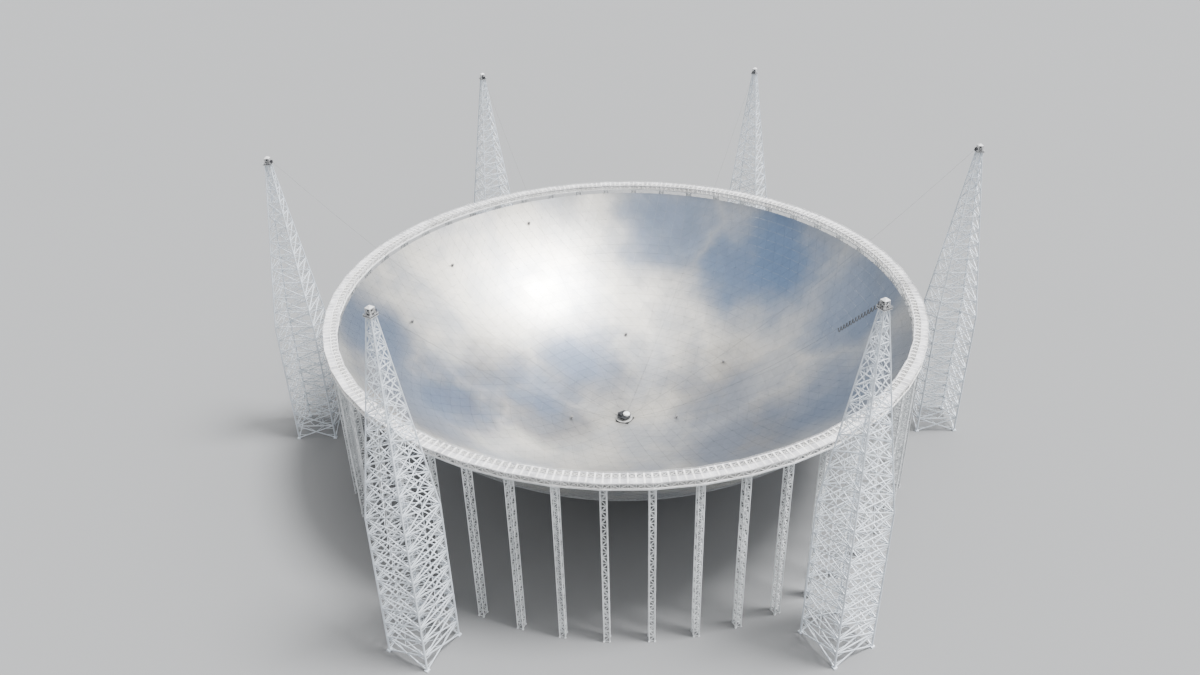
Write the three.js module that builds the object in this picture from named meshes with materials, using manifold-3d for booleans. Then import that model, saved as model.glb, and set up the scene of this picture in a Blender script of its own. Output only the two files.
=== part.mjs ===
// A radio telescope with a fixed bowl, as a 1:20 scale model. A perforated metal bowl hangs inside a ring
// girder on fifty lattice columns. Six lattice towers round it hold a receiver cabin on steel cables.
// The origin is on the floor under the middle of the bowl, with +Z up and a tower on the +X axis.
// Sizes are those of the full-size telescope in metres, and metre() turns them into the model's millimetres.
import * as THREE from "three";
import { mergeVertices } from "three/addons/utils/BufferGeometryUtils.js";
import Module from "manifold-3d";

const wasm = await Module();
wasm.setup();

const MODEL_SCALE = 1 / 20;
const metre = (length) => length * 1000 * MODEL_SCALE;
const GAP = 0.3 / metre(1); // a 0.3 mm joint in the model, in full-size metres
const OVERRUN = 0.1; // how far a joined or cutting shape runs on past a face
const ROUNDING = 1e-9;

// The bowl is part of a sphere, with its lowest point a little above the floor.
const APERTURE_RADIUS = 250;
const SPHERE_RADIUS = 300;
const BOWL_FLOOR_Z = 6;
const BOWL_THICKNESS = 1;
const CENTRE_HOLE_RADIUS = 9;
const CENTRE_RING_RADIUS = 30;
const MIDDLE_RING_RADIUS = 140;
const SPHERE_CENTRE_Z = BOWL_FLOOR_Z + SPHERE_RADIUS;
const HANGER_WIDTH = 0.5;
const HANGER_LAP = 1.5;
const BOWL_SECTORS = 5;

// The ring girder has one bay between each two columns.
const BAYS = 50;
const BAY_ANGLE = (2 * Math.PI) / BAYS;
const RING_INNER = 250.4;
const RING_OUTER = 261.4;
const RING_TOP_Z = 149.2; // the walkway's top, on the ring's deck
const RING_DEPTH = 5.5;
const RING_BOTTOM_Z = RING_TOP_Z - RING_DEPTH;
const BEARING_FRAME_DEPTH = 0.6;
const CHORD_WIDTH = 1.2;
const WALL_THICKNESS = 0.8;
const WALL_BAR = 0.7;
const DECK_THICKNESS = 0.5;
const WALKWAY_WIDTH = 5.6;
const DECK_TIE_WIDTH = 4;
const RING_OVERRUN = 3; // how far a cut through a bay starts and ends off the ring's straight sides
const GIRDER_SECTORS = 5;

// A column is two flat legs tied by rungs.
const COLUMN_SECTORS = 10;
const COLUMN_RADIUS = 255.9;
const COLUMN_WIDTH = 5;
const COLUMN_DEPTH = 6;
const COLUMN_LEG = 0.7;
const COLUMN_RUNG = 1.2;
const COLUMN_PANELS = 2;
const HEAD_PLATE_WIDTH = 6.4;

// A tower tapers down to a waist below the ring's level, and runs on to the floor almost straight.
const TOWERS = 6;
const TOWER_CIRCLE = 297;
const TOWER_TOP_Z = 274;
const TOWER_WAIST_Z = 125;
const TOWER_TOP_HALF = 2.8;
const TOWER_WAIST_HALF = 18;
const TOWER_FOOT_HALF = 18.4;
const TOWER_LEG = 1.6;
const TOWER_SKIN = 1.1;
const TOWER_BAR = 1.3;
const UPPER_PANELS = 5;
const LOWER_PANELS = 3;
const PANEL_SHRINK = 0.8; // each upper panel is this share of the height of the one below

// The head on a tower holds the cable's pulley.
const HEAD_PLATFORM = 6.4;
const HEAD_PLATFORM_DEPTH = 0.9;
const HEAD_HOUSE = 4.4;
const HEAD_HOUSE_HEIGHT = 4.6;
const HEAD_ROOF = 5.2;
const HEAD_TOP_Z = 281;
const SKY_Z = HEAD_TOP_Z; // above the top of everything

// The receiver cabin stands on its dock in the middle of the bowl.
const DOCK_RADIUS = 8.7;
const DOCK_TOP_Z = 7.3;
const DOCK_PLATE = 0.8;
const DOCK_LEG = 1.2;
const DOCK_LEG_RADIUS = 6;
const CABIN_BODY_RADIUS = 4.8;
const CABIN_KEEL_RADIUS = 3.8;
const CABIN_BODY_HEIGHT = 1.8;
const CABIN_FRAME_APOTHEM = 6.25;
const CABIN_FRAME_HEIGHT = 1.4;

// Two housings stand on the cabin's frame, one on each side.
const ROOF_PLACE = 2.5;
const ROOF_RADIUS = 3.4;
const ROOF_CROWN_RADIUS = 2.4;
const ROOF_HEIGHT = 2.4;
const HOIST_PLACE = -3.4;
const HOIST_RADIUS = 2.2;
const HOIST_CROWN_RADIUS = 1.8;
const HOIST_HEIGHT = 1.8;

// The six cables hold the cabin.
const CABLE_WIDTH = 0.12;
const CABLE_ANCHOR_DROP = 1.5;
const CABLE_SAG = 14;
const CABLE_STEPS = 10;

// Joining and cutting.

function toSolid(geometry) {
  const bare = geometry.clone();
  bare.deleteAttribute("normal");
  bare.deleteAttribute("uv");
  const merged = mergeVertices(bare, 1e-3);
  const mesh = new wasm.Mesh({
    numProp: 3,
    vertProperties: merged.attributes.position.array,
    triVerts: new Uint32Array(merged.index.array),
  });
  return new wasm.Manifold(mesh);
}

function toGeometry(solid) {
  const mesh = solid.getMesh();
  return new THREE.BufferGeometry()
    .setAttribute("position", new THREE.BufferAttribute(mesh.vertProperties, 3))
    .setIndex(new THREE.BufferAttribute(mesh.triVerts, 1));
}

const joinAll = (solids) => solids.reduce((whole, piece) => whole.add(piece));
const cutAll = (solid, cutters) => (cutters.length ? solid.subtract(joinAll(cutters)) : solid);

// Basic shapes, given in full-size metres.

function outlineOf(points) {
  return new THREE.Shape(points.map(([x, y]) => new THREE.Vector2(metre(x), metre(y))));
}

// A flat outline in plan, raised from one level to another.
function plate(points, bottom, top) {
  const geometry = new THREE.ExtrudeGeometry(outlineOf(points), {
    depth: metre(top - bottom),
    bevelEnabled: false,
  });
  return toSolid(geometry.translate(0, 0, metre(bottom)));
}

function box(width, depth, bottom, top) {
  const geometry = new THREE.BoxGeometry(metre(width), metre(depth), metre(top - bottom));
  return geometry.translate(0, 0, metre((bottom + top) / 2));
}

// A prism with flat sides, one of which faces +X where the side count is even.
function drum(topRadius, bottomRadius, bottom, top, sides) {
  const height = metre(top - bottom);
  return new THREE.CylinderGeometry(metre(topRadius), metre(bottomRadius), height, sides)
    .rotateX(Math.PI / 2)
    .rotateZ(Math.PI / 2 + Math.PI / sides)
    .translate(0, 0, metre((bottom + top) / 2));
}

const cornerRadius = (apothem, sides) => apothem / Math.cos(Math.PI / sides);
const squareFrustum = (bottomHalf, topHalf, bottom, top) =>
  toSolid(drum(cornerRadius(topHalf, 4), cornerRadius(bottomHalf, 4), bottom, top, 4));

// Turns a solid about the vertical axis, by way of its geometry.
const turned = (solid, angle) => toSolid(toGeometry(solid).rotateZ(angle));

// The ring girder and its columns.

const polar = (radius, angle) => [radius * Math.cos(angle), radius * Math.sin(angle)];

// A point on the ring's fifty-sided outline, whose corners are at the columns.
function ringPoint(radius, angle) {
  const inBay = angle - Math.floor(angle / BAY_ANGLE + ROUNDING) * BAY_ANGLE;
  return polar((radius * Math.cos(BAY_ANGLE / 2)) / Math.cos(inBay - BAY_ANGLE / 2), angle);
}

// The plan of a stretch of the ring, shortened at both ends by half a joint.
function ringStretch(inner, outer, from, to) {
  const trim = GAP / 2 / inner;
  const angles = [from + trim];
  for (let bay = Math.floor(from / BAY_ANGLE + ROUNDING) + 1; bay < to / BAY_ANGLE - ROUNDING; bay += 1) {
    angles.push(bay * BAY_ANGLE);
  }
  angles.push(to - trim);
  const outside = angles.map((angle) => ringPoint(outer, angle));
  const inside = angles.map((angle) => ringPoint(inner, angle)).reverse();
  return [...outside, ...inside];
}

// An outline drawn across a bay and upwards, pushed through the ring along the middle line of that bay.
function throughBay(points, bay, nearRadius, farRadius) {
  const geometry = new THREE.ExtrudeGeometry(outlineOf(points), {
    depth: metre(farRadius - nearRadius),
    bevelEnabled: false,
  });
  geometry.rotateX(Math.PI / 2).rotateZ(Math.PI / 2);
  geometry.translate(metre(nearRadius), 0, 0).rotateZ((bay + 0.5) * BAY_ANGLE);
  return toSolid(geometry);
}

// Two triangles that leave one diagonal bar across a four-sided panel, given as its corners in turn.
function diagonalPanel([a, b, c, d], bar) {
  const along = (from, to, distance) => {
    const step = new THREE.Vector2(to[0] - from[0], to[1] - from[1]).setLength(distance);
    return [from[0] + step.x, from[1] + step.y];
  };
  const angleAt = (at, one, two) => {
    const first = new THREE.Vector2(one[0] - at[0], one[1] - at[1]).normalize();
    const second = new THREE.Vector2(two[0] - at[0], two[1] - at[1]).normalize();
    return Math.acos(first.dot(second));
  };
  const slide = (at, side, far) => along(at, side, bar / 2 / Math.sin(angleAt(at, side, far)));
  return [
    [slide(a, b, c), b, slide(c, b, a)],
    [slide(a, d, c), slide(c, d, a), d].reverse(),
  ];
}

function bayWindows(bay, bottom, top) {
  const halfLength = RING_INNER * Math.sin(BAY_ANGLE / 2) - WALL_BAR;
  const corners = [
    [-halfLength, bottom],
    [halfLength, bottom],
    [halfLength, top],
    [-halfLength, top],
  ];
  const half = bay % 2 ? corners : [corners[1], corners[2], corners[3], corners[0]];
  return diagonalPanel(half, WALL_BAR).map((hole) =>
    throughBay(hole, bay, RING_INNER - RING_OVERRUN, RING_OUTER + RING_OVERRUN));
}

// An opening in a level plate of the ring, between two columns, with the plate left whole over each column.
function planWindow(bay, outer, endMargin, bottom, top) {
  const inner = RING_INNER + CHORD_WIDTH;
  const from = bay * BAY_ANGLE + endMargin / RING_INNER;
  const to = (bay + 1) * BAY_ANGLE - endMargin / RING_INNER;
  const corners = [[outer, from], [outer, to], [inner, to], [inner, from]];
  return plate(corners.map(([radius, angle]) => ringPoint(radius, angle)), bottom, top);
}

function girderSector(index) {
  const baysEach = BAYS / GIRDER_SECTORS;
  const from = index * baysEach * BAY_ANGLE;
  const to = from + baysEach * BAY_ANGLE;
  const bottom = RING_BOTTOM_Z + BEARING_FRAME_DEPTH + GAP;
  const walkwayInner = RING_OUTER - WALKWAY_WIDTH;
  const deckUnderside = RING_TOP_Z - DECK_THICKNESS;
  const stretch = (inner, outer, low, high) => plate(ringStretch(inner, outer, from, to), low, high);
  const walls = [
    stretch(RING_INNER, RING_INNER + WALL_THICKNESS, bottom, deckUnderside + OVERRUN),
    stretch(RING_OUTER - WALL_THICKNESS, RING_OUTER, bottom, deckUnderside + OVERRUN),
  ];
  const whole = joinAll([...walls, stretch(RING_INNER, RING_OUTER, deckUnderside, RING_TOP_Z)]);
  const holes = [];
  for (let step = 0; step < baysEach; step += 1) {
    const bay = index * baysEach + step;
    holes.push(...bayWindows(bay, bottom + WALL_BAR, RING_TOP_Z - WALL_BAR));
    holes.push(planWindow(bay, walkwayInner, DECK_TIE_WIDTH / 2, deckUnderside - OVERRUN, SKY_Z));
  }
  return cutAll(whole, holes);
}

function column() {
  const half = COLUMN_WIDTH / 2;
  const top = RING_BOTTOM_Z + BEARING_FRAME_DEPTH / 2;
  const shape = outlineOf([[-half, 0], [half, 0], [half, top], [-half, top]]);
  const pitch = RING_BOTTOM_Z / COLUMN_PANELS;
  const inside = half - COLUMN_LEG;
  for (let panel = 0; panel < COLUMN_PANELS; panel += 1) {
    const low = panel * pitch + COLUMN_RUNG / 2;
    const high = (panel + 1) * pitch - COLUMN_RUNG / 2;
    shape.holes.push(outlineOf([[-inside, low], [-inside, high], [inside, high], [inside, low]]));
  }
  const geometry = new THREE.ExtrudeGeometry(shape, { depth: metre(COLUMN_DEPTH), bevelEnabled: false });
  geometry.rotateX(Math.PI / 2).rotateZ(Math.PI / 2);
  return geometry.translate(metre(COLUMN_RADIUS - COLUMN_DEPTH / 2), 0, 0);
}

// Five columns and the stretch of bearing frame that they carry, from mid bay to mid bay.
function columnSector(index) {
  const columnsEach = BAYS / COLUMN_SECTORS;
  const first = index * columnsEach;
  const from = (first - 0.5) * BAY_ANGLE;
  const to = from + columnsEach * BAY_ANGLE;
  const frame = plate(
    ringStretch(RING_INNER, RING_OUTER, from, to),
    RING_BOTTOM_Z,
    RING_BOTTOM_Z + BEARING_FRAME_DEPTH,
  );
  const windows = [];
  const columns = [];
  for (let step = 0; step <= columnsEach; step += 1) {
    const outer = RING_OUTER - CHORD_WIDTH;
    windows.push(planWindow(first + step - 1, outer, HEAD_PLATE_WIDTH / 2, 0, RING_TOP_Z));
  }
  for (let step = 0; step < columnsEach; step += 1) {
    columns.push(toSolid(column().rotateZ((first + step) * BAY_ANGLE)));
  }
  return joinAll([cutAll(frame, windows), ...columns]);
}

// The bowl.

// The closed section of a ring of the bowl between two radii, for a lathe.
function bowlSection(fromRadius, toRadius, steps) {
  const trim = GAP / 2 / SPHERE_RADIUS;
  const start = Math.asin(fromRadius / SPHERE_RADIUS) + trim;
  const end = Math.asin(toRadius / SPHERE_RADIUS) - trim;
  const arc = (radius) =>
    Array.from({ length: steps + 1 }, (_, step) => {
      const angle = start + ((end - start) * step) / steps;
      const height = SPHERE_CENTRE_Z - radius * Math.cos(angle);
      return new THREE.Vector2(metre(radius * Math.sin(angle)), metre(height));
    });
  const face = arc(SPHERE_RADIUS);
  const back = arc(SPHERE_RADIUS + BOWL_THICKNESS).reverse();
  return [...face, ...back, face[0].clone()].reverse();
}

function bowlRing(fromRadius, toRadius, steps) {
  const section = bowlSection(fromRadius, toRadius, steps);
  return toSolid(new THREE.LatheGeometry(section, BAYS, Math.PI / 2, 2 * Math.PI).rotateX(Math.PI / 2));
}

// A fifth of the plan as a wedge, narrowed by half a joint on each side.
function sectorWedge(index) {
  const halfAngle = Math.PI / BOWL_SECTORS;
  const middle = (2 * index + 1) * halfAngle;
  const apex = polar(GAP / 2 / Math.sin(halfAngle), middle);
  const reach = 2 * APERTURE_RADIUS;
  const at = (angle) => {
    const [x, y] = polar(reach, angle);
    return [apex[0] + x, apex[1] + y];
  };
  return plate([apex, at(middle - halfAngle), at(middle + halfAngle)], 0, SKY_Z);
}

// A short tie from the rim of the bowl up to the inner chord of the bearing frame, at mid bay.
function rimHanger(bay) {
  const rimZ = SPHERE_CENTRE_Z - Math.sqrt(SPHERE_RADIUS ** 2 - APERTURE_RADIUS ** 2);
  const bar = box(HANGER_WIDTH, HANGER_WIDTH, rimZ - HANGER_LAP, RING_BOTTOM_Z - GAP);
  return toSolid(bar.translate(metre(APERTURE_RADIUS), 0, 0).rotateZ((bay + 0.5) * BAY_ANGLE));
}

function bowlSector(ring, index, hangers) {
  const sector = ring.intersect(sectorWedge(index));
  if (!hangers) return sector;
  const baysEach = BAYS / BOWL_SECTORS;
  const bars = Array.from({ length: baysEach }, (_, step) => rimHanger(index * baysEach + step));
  return joinAll([sector, ...bars]);
}

// The towers.

function panelLevels(bottom, top, count, shrink) {
  const heights = Array.from({ length: count }, (_, panel) => shrink ** panel);
  const total = heights.reduce((sum, height) => sum + height, 0);
  const levels = [bottom];
  heights.forEach((height) => levels.push(levels.at(-1) + ((top - bottom) * height) / total));
  return levels;
}

function towerStage(bottomHalf, topHalf, bottom, top, count, shrink) {
  const halfAt = (level) => bottomHalf + ((topHalf - bottomHalf) * (level - bottom)) / (top - bottom);
  const levels = panelLevels(bottom, top, count, shrink);
  const holes = [];
  for (let panel = 0; panel < count; panel += 1) {
    const low = levels[panel] + TOWER_BAR / 2;
    const high = levels[panel + 1] - TOWER_BAR / 2;
    const lowHalf = halfAt(low) - TOWER_LEG;
    const highHalf = halfAt(high) - TOWER_LEG;
    const corners = [[-lowHalf, low], [lowHalf, low], [highHalf, high], [-highHalf, high]];
    const start = panel % 2 ? corners : [corners[1], corners[2], corners[3], corners[0]];
    holes.push(...diagonalPanel(start, TOWER_BAR));
  }
  return holes.map((hole) => {
    const geometry = new THREE.ExtrudeGeometry(outlineOf(hole), {
      depth: metre(4 * TOWER_FOOT_HALF),
      bevelEnabled: false,
    });
    geometry.rotateX(Math.PI / 2).translate(0, metre(2 * TOWER_FOOT_HALF), 0);
    return toSolid(geometry);
  });
}

function tower() {
  const shaft = (inset, overrun) =>
    joinAll([
      squareFrustum(TOWER_FOOT_HALF - inset, TOWER_WAIST_HALF - inset, -overrun, TOWER_WAIST_Z),
      squareFrustum(TOWER_WAIST_HALF - inset, TOWER_TOP_HALF - inset, TOWER_WAIST_Z, TOWER_TOP_Z + overrun),
    ]);
  const faceHoles = [
    ...towerStage(TOWER_FOOT_HALF, TOWER_WAIST_HALF, 0, TOWER_WAIST_Z, LOWER_PANELS, 1),
    ...towerStage(TOWER_WAIST_HALF, TOWER_TOP_HALF, TOWER_WAIST_Z, TOWER_TOP_Z, UPPER_PANELS, PANEL_SHRINK),
  ];
  const sideHoles = faceHoles.map((hole) => turned(hole, Math.PI / 2));
  return cutAll(shaft(0, 0), [shaft(TOWER_SKIN, OVERRUN), ...faceHoles, ...sideHoles]);
}

function towerHead() {
  const floor = TOWER_TOP_Z + GAP;
  const houseFloor = floor + HEAD_PLATFORM_DEPTH;
  const houseTop = houseFloor + HEAD_HOUSE_HEIGHT;
  return joinAll([
    toSolid(box(HEAD_PLATFORM, HEAD_PLATFORM, floor, houseFloor)),
    toSolid(box(HEAD_HOUSE, HEAD_HOUSE, houseFloor - OVERRUN, houseTop)),
    toSolid(box(HEAD_ROOF, HEAD_ROOF, houseTop - OVERRUN, HEAD_TOP_Z)),
  ]);
}

// A cable from the top of a tower's pulley house to the cabin's frame, hanging in a shallow curve.
function supportCable() {
  const frameMiddle = DOCK_TOP_Z + CABIN_BODY_HEIGHT + CABIN_FRAME_HEIGHT / 2;
  const towerEndZ = TOWER_TOP_Z + HEAD_PLATFORM_DEPTH + HEAD_HOUSE_HEIGHT - CABLE_ANCHOR_DROP;
  const houseFace = TOWER_CIRCLE - HEAD_HOUSE / 2;
  const towerEnd = new THREE.Vector3(metre(houseFace + OVERRUN), 0, metre(towerEndZ));
  const cabinEnd = new THREE.Vector3(metre(CABIN_FRAME_APOTHEM - OVERRUN), 0, metre(frameMiddle));
  const bend = towerEnd.clone().lerp(cabinEnd, 0.5);
  bend.z -= metre(2 * CABLE_SAG);
  const half = CABLE_WIDTH / 2;
  const section = outlineOf([[-half, -half], [half, -half], [half, half], [-half, half]]);
  const rope = new THREE.ExtrudeGeometry(section, {
    steps: CABLE_STEPS,
    extrudePath: new THREE.QuadraticBezierCurve3(towerEnd, bend, cabinEnd),
  });
  const from = CABIN_FRAME_APOTHEM + GAP;
  const to = houseFace - GAP;
  const reach = box(to - from, HEAD_HOUSE, 0, HEAD_TOP_Z).translate(metre((from + to) / 2), 0, 0);
  return toSolid(rope).intersect(toSolid(reach));
}

// The cabin and its dock.

function dock() {
  const legs = Array.from({ length: 6 }, (_, leg) => {
    const bar = box(DOCK_LEG, DOCK_LEG, 0, DOCK_TOP_Z - DOCK_PLATE / 2);
    return toSolid(bar.translate(metre(DOCK_LEG_RADIUS), 0, 0).rotateZ(((leg + 0.5) * Math.PI) / 3));
  });
  const top = toSolid(drum(DOCK_RADIUS, DOCK_RADIUS, DOCK_TOP_Z - DOCK_PLATE, DOCK_TOP_Z, 12));
  return joinAll([top, ...legs]);
}

const cabinBodyFloor = DOCK_TOP_Z + GAP;
const cabinFrameFloor = DOCK_TOP_Z + CABIN_BODY_HEIGHT;
const housingFloor = cabinFrameFloor + CABIN_FRAME_HEIGHT + GAP;

const cabinBody = () =>
  drum(CABIN_BODY_RADIUS, CABIN_KEEL_RADIUS, cabinBodyFloor, cabinFrameFloor - GAP, 12);

function cabinFrame() {
  const corner = cornerRadius(CABIN_FRAME_APOTHEM, 6);
  return drum(corner, corner, cabinFrameFloor, cabinFrameFloor + CABIN_FRAME_HEIGHT, 6);
}

const cabinRoof = () =>
  drum(ROOF_CROWN_RADIUS, ROOF_RADIUS, housingFloor, housingFloor + ROOF_HEIGHT, 12)
    .translate(metre(ROOF_PLACE), 0, 0);

const cabinHoist = () =>
  drum(HOIST_CROWN_RADIUS, HOIST_RADIUS, housingFloor, housingFloor + HOIST_HEIGHT, 12)
    .translate(metre(HOIST_PLACE), 0, 0);

// Finishes.

const finish = (color, roughness, metalness) =>
  new THREE.MeshStandardMaterial({ color, roughness, metalness });
const panelMetal = () => finish(0xc4c5c6, 0.42, 0.8);
const whiteSteel = () => finish(0xdcdcdd, 0.55, 0.1);
const greySteel = () => finish(0xb9c2cc, 0.6, 0.15);
const darkSteel = () => finish(0x3b4046, 0.5, 0.4);
const ropeSteel = () => finish(0x6d7278, 0.45, 0.6);
const dockConcrete = () => finish(0xa9a8a2, 0.85, 0);

// The assembly.

const telescope = new THREE.Group();
const number = (index) => String(index + 1).padStart(2, "0");

function addPiece(parent, name, geometry, material) {
  const mesh = new THREE.Mesh(geometry, material);
  mesh.name = name;
  parent.add(mesh);
  return mesh;
}

const centreRing = bowlRing(CENTRE_HOLE_RADIUS, CENTRE_RING_RADIUS, 1);
const innerRing = bowlRing(CENTRE_RING_RADIUS, MIDDLE_RING_RADIUS, 3);
const outerRing = bowlRing(MIDDLE_RING_RADIUS, APERTURE_RADIUS, 4);
addPiece(telescope, "reflector_centre", toGeometry(centreRing), panelMetal());
for (let index = 0; index < BOWL_SECTORS; index += 1) {
  const inner = toGeometry(bowlSector(innerRing, index, false));
  const outer = toGeometry(bowlSector(outerRing, index, true));
  addPiece(telescope, `reflector_inner_${number(index)}`, inner, panelMetal());
  addPiece(telescope, `reflector_outer_${number(index)}`, outer, panelMetal());
}

for (let index = 0; index < GIRDER_SECTORS; index += 1) {
  addPiece(telescope, `ring_girder_${number(index)}`, toGeometry(girderSector(index)), whiteSteel());
}
for (let index = 0; index < COLUMN_SECTORS; index += 1) {
  addPiece(telescope, `ring_columns_${number(index)}`, toGeometry(columnSector(index)), greySteel());
}

const towerGeometry = toGeometry(tower());
const headGeometry = toGeometry(towerHead());
const cableGeometry = toGeometry(supportCable());
for (let index = 0; index < TOWERS; index += 1) {
  const side = new THREE.Group();
  side.rotation.z = (index * 2 * Math.PI) / TOWERS;
  telescope.add(side);
  const standing = new THREE.Group();
  standing.position.x = metre(TOWER_CIRCLE);
  side.add(standing);
  addPiece(standing, `tower_${number(index)}`, towerGeometry, greySteel());
  addPiece(standing, `tower_head_${number(index)}`, headGeometry, whiteSteel());
  addPiece(side, `support_cable_${number(index)}`, cableGeometry, ropeSteel());
}

addPiece(telescope, "cabin_dock", toGeometry(dock()), dockConcrete());
addPiece(telescope, "cabin_body", cabinBody(), darkSteel());
addPiece(telescope, "cabin_frame", cabinFrame(), darkSteel());
addPiece(telescope, "cabin_roof", cabinRoof(), whiteSteel());
addPiece(telescope, "cabin_hoist", cabinHoist(), darkSteel());

export default telescope;
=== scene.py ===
"""The looks of a 1:20 model of a fixed-bowl radio telescope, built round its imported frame.

Lengths are in metres of the model, and real() turns a length of the full-size telescope into them. +Z is up,
the origin is on the floor under the middle of the bowl, and one of the towers stands on the +X axis.
A shape is a pair: an array of points, and a list of face blocks, one block for each number of corners.
"""
import math

import bpy
import numpy as np
from bpy.props import FloatProperty, FloatVectorProperty, IntProperty, PointerProperty
from mathutils import Matrix, Vector


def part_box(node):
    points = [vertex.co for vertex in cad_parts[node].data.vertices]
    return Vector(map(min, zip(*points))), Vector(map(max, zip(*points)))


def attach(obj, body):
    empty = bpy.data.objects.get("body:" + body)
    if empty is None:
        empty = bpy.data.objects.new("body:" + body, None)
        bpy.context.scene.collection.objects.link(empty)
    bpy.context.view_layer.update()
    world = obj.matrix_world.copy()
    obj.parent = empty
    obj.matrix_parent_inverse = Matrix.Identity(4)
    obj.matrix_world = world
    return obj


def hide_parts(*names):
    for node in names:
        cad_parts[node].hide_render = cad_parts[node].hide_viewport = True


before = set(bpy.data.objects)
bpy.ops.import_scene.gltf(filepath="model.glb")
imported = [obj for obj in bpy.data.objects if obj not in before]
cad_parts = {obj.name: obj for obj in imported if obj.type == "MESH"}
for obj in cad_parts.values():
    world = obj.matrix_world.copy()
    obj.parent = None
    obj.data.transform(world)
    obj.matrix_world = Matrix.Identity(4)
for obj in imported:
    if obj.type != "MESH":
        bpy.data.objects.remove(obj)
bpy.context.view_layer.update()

bl_info = {
    "name": "Radio Telescope Dish",
    "version": (1, 0, 0),
    "blender": (4, 5, 0),
    "location": "3D View > Sidebar > Telescope",
    "description": "Builds the panels, lattices, cables and finishes of a fixed-bowl radio telescope model",
    "category": "Add Mesh",
}

MODEL_SCALE = 1 / 20
TAU = 2 * math.pi


def real(length):
    """A length of the full-size telescope, in metres, as it is in the model."""
    return length * MODEL_SCALE


def reals(*lengths):
    """An array of lengths of the full-size telescope, as they are in the model."""
    return real(np.array(lengths, float))


def even_angles(count, shift=0.0, extra=0):
    """Angles in even steps round a full circle, shifted by part of a step, and extra ones past its end."""
    return TAU * (np.arange(count + extra) + shift) / count


# Driving dimensions, read from the frame where it holds them

def low_of(node, axis):
    """The node's lowest value along an axis."""
    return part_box(node)[0][axis]


def high_of(node, axis):
    """The node's highest value along an axis."""
    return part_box(node)[1][axis]


def middle_of(node, axis):
    """The middle of the node's extent along an axis."""
    return (low_of(node, axis) + high_of(node, axis)) / 2


QUARTERS = even_angles(4)
# Legs and stair posts start this far above the floor, the legs inside their pads
LEG_START = 0.02
# A bar counts as upright when the z of its way, at length one, is past this
UPRIGHT = 0.95

BAYS = 50
BAY_ANGLE = TAU / BAYS
RING_OUTER = high_of("ring_girder_01", 0)
RING_INNER = RING_OUTER - real(11)
RING_TOP = high_of("ring_girder_01", 2)
GIRDER_BOTTOM = low_of("ring_girder_01", 2)
BEARING_TOP = high_of("ring_columns_01", 2)
BEARING_BOTTOM = BEARING_TOP - real(0.6)
# How many nodes the frame divides the girder and the columns into
GIRDER_PIECES = 5
COLUMN_PIECES = 10
# How much of the girder's brace radius its light braces have
LIGHT_BRACE = 0.45

BOWL_RADIUS = real(300)
BOWL_RIM_RADIUS = real(250)
BOWL_FLOOR = real(6)
BOWL_CENTRE = np.array([0, 0, BOWL_FLOOR + BOWL_RADIUS])
RIM_ANGLE = math.asin(BOWL_RIM_RADIUS / BOWL_RADIUS)
BOWL_SECTORS = 5
# How far the middle and the inner nodes of the bowl reach from the axis
CENTRE_REACH = real(30)
INNER_REACH = real(140)
# A panel has three points in front and three behind
PANEL_POINTS = 6
# Keeps the random seeds of the bowl's pieces apart
SEED_STEP = 10
# How far a hanger's top stands aside of its node, in steps of the rim's nodes
HANGER_SPREAD = 0.35
POST_DISTANCES = reals(51, 51, 116, 118, 210, 224, 235)
POST_AZIMUTHS = np.radians([186, 353, 88, 30, 168, 143, 116])

TOWERS = 6
TOWER_CIRCLE = middle_of("tower_01", 0)
TOWER_FOOT_HALF = (high_of("tower_01", 1) - low_of("tower_01", 1)) / 2
TOWER_WAIST = real(125)
TOWER_WAIST_HALF = real(18)
TOWER_TOP_HALF = real(2.8)
TOWER_TOP = high_of("tower_01", 2)
# Each lattice panel above the waist has this share of the height of the one below
PANEL_SHRINK = 0.97
# The share of their radius that the braces have at the top of a tower
BRACE_SHRINK = 0.6
STAIR_FLIGHTS = 80
PLATFORM_TOP = TOWER_TOP + real(0.9)
PLATFORM_HALF = real(3.2)
HEAD_TOP = high_of("tower_head_01", 2)

# The trolleys are at every third of these marks, over about the first tenth of a cable
CABLE_MARKS = 400
TROLLEY_MARKS = slice(4, 44, 3)

DOCK_TOP = high_of("cabin_dock", 2)
CABIN_FRAME_LOW = low_of("cabin_frame", 2)
CABIN_FRAME_HIGH = high_of("cabin_frame", 2)
CABIN_FRAME_APOTHEM = high_of("cabin_frame", 0)
CABIN_BODY_RADIUS = high_of("cabin_body", 0)
ROOF_PLACE = middle_of("cabin_roof", 0)
ROOF_RADIUS = high_of("cabin_roof", 1)
ROOF_HEIGHT = high_of("cabin_roof", 2) - CABIN_FRAME_HIGH
# The angle that the dome of the cabin's roof curves through
DOME_BEND = 1.35
HOIST_PLACE = middle_of("cabin_hoist", 0)
HOIST_RADIUS = high_of("cabin_hoist", 1)
HOIST_HEIGHT = high_of("cabin_hoist", 2) - CABIN_FRAME_HIGH
DOCK_RADIUS = high_of("cabin_dock", 0)


# Shapes as arrays

def points_of(x, y, z):
    """An array of points from their x, y and z, each an array or one number."""
    return np.stack(np.broadcast_arrays(np.asarray(x, float), y, z), axis=-1)


def around(radius, angle, height):
    """Points round Z: (r cos a, r sin a, z)."""
    return points_of(radius * np.cos(angle), radius * np.sin(angle), height)


def unit(ways):
    """Each way at length one."""
    return ways / np.linalg.norm(ways, axis=1)[:, None]


def join(*shapes):
    """One shape from several: their points one after another, with the face corners counted on."""
    points, blocks, count = [], [], 0
    for shape_points, shape_blocks in shapes:
        points.append(shape_points)
        blocks += [block + count for block in shape_blocks]
        count += len(shape_points)
    return np.concatenate(points), blocks


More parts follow.
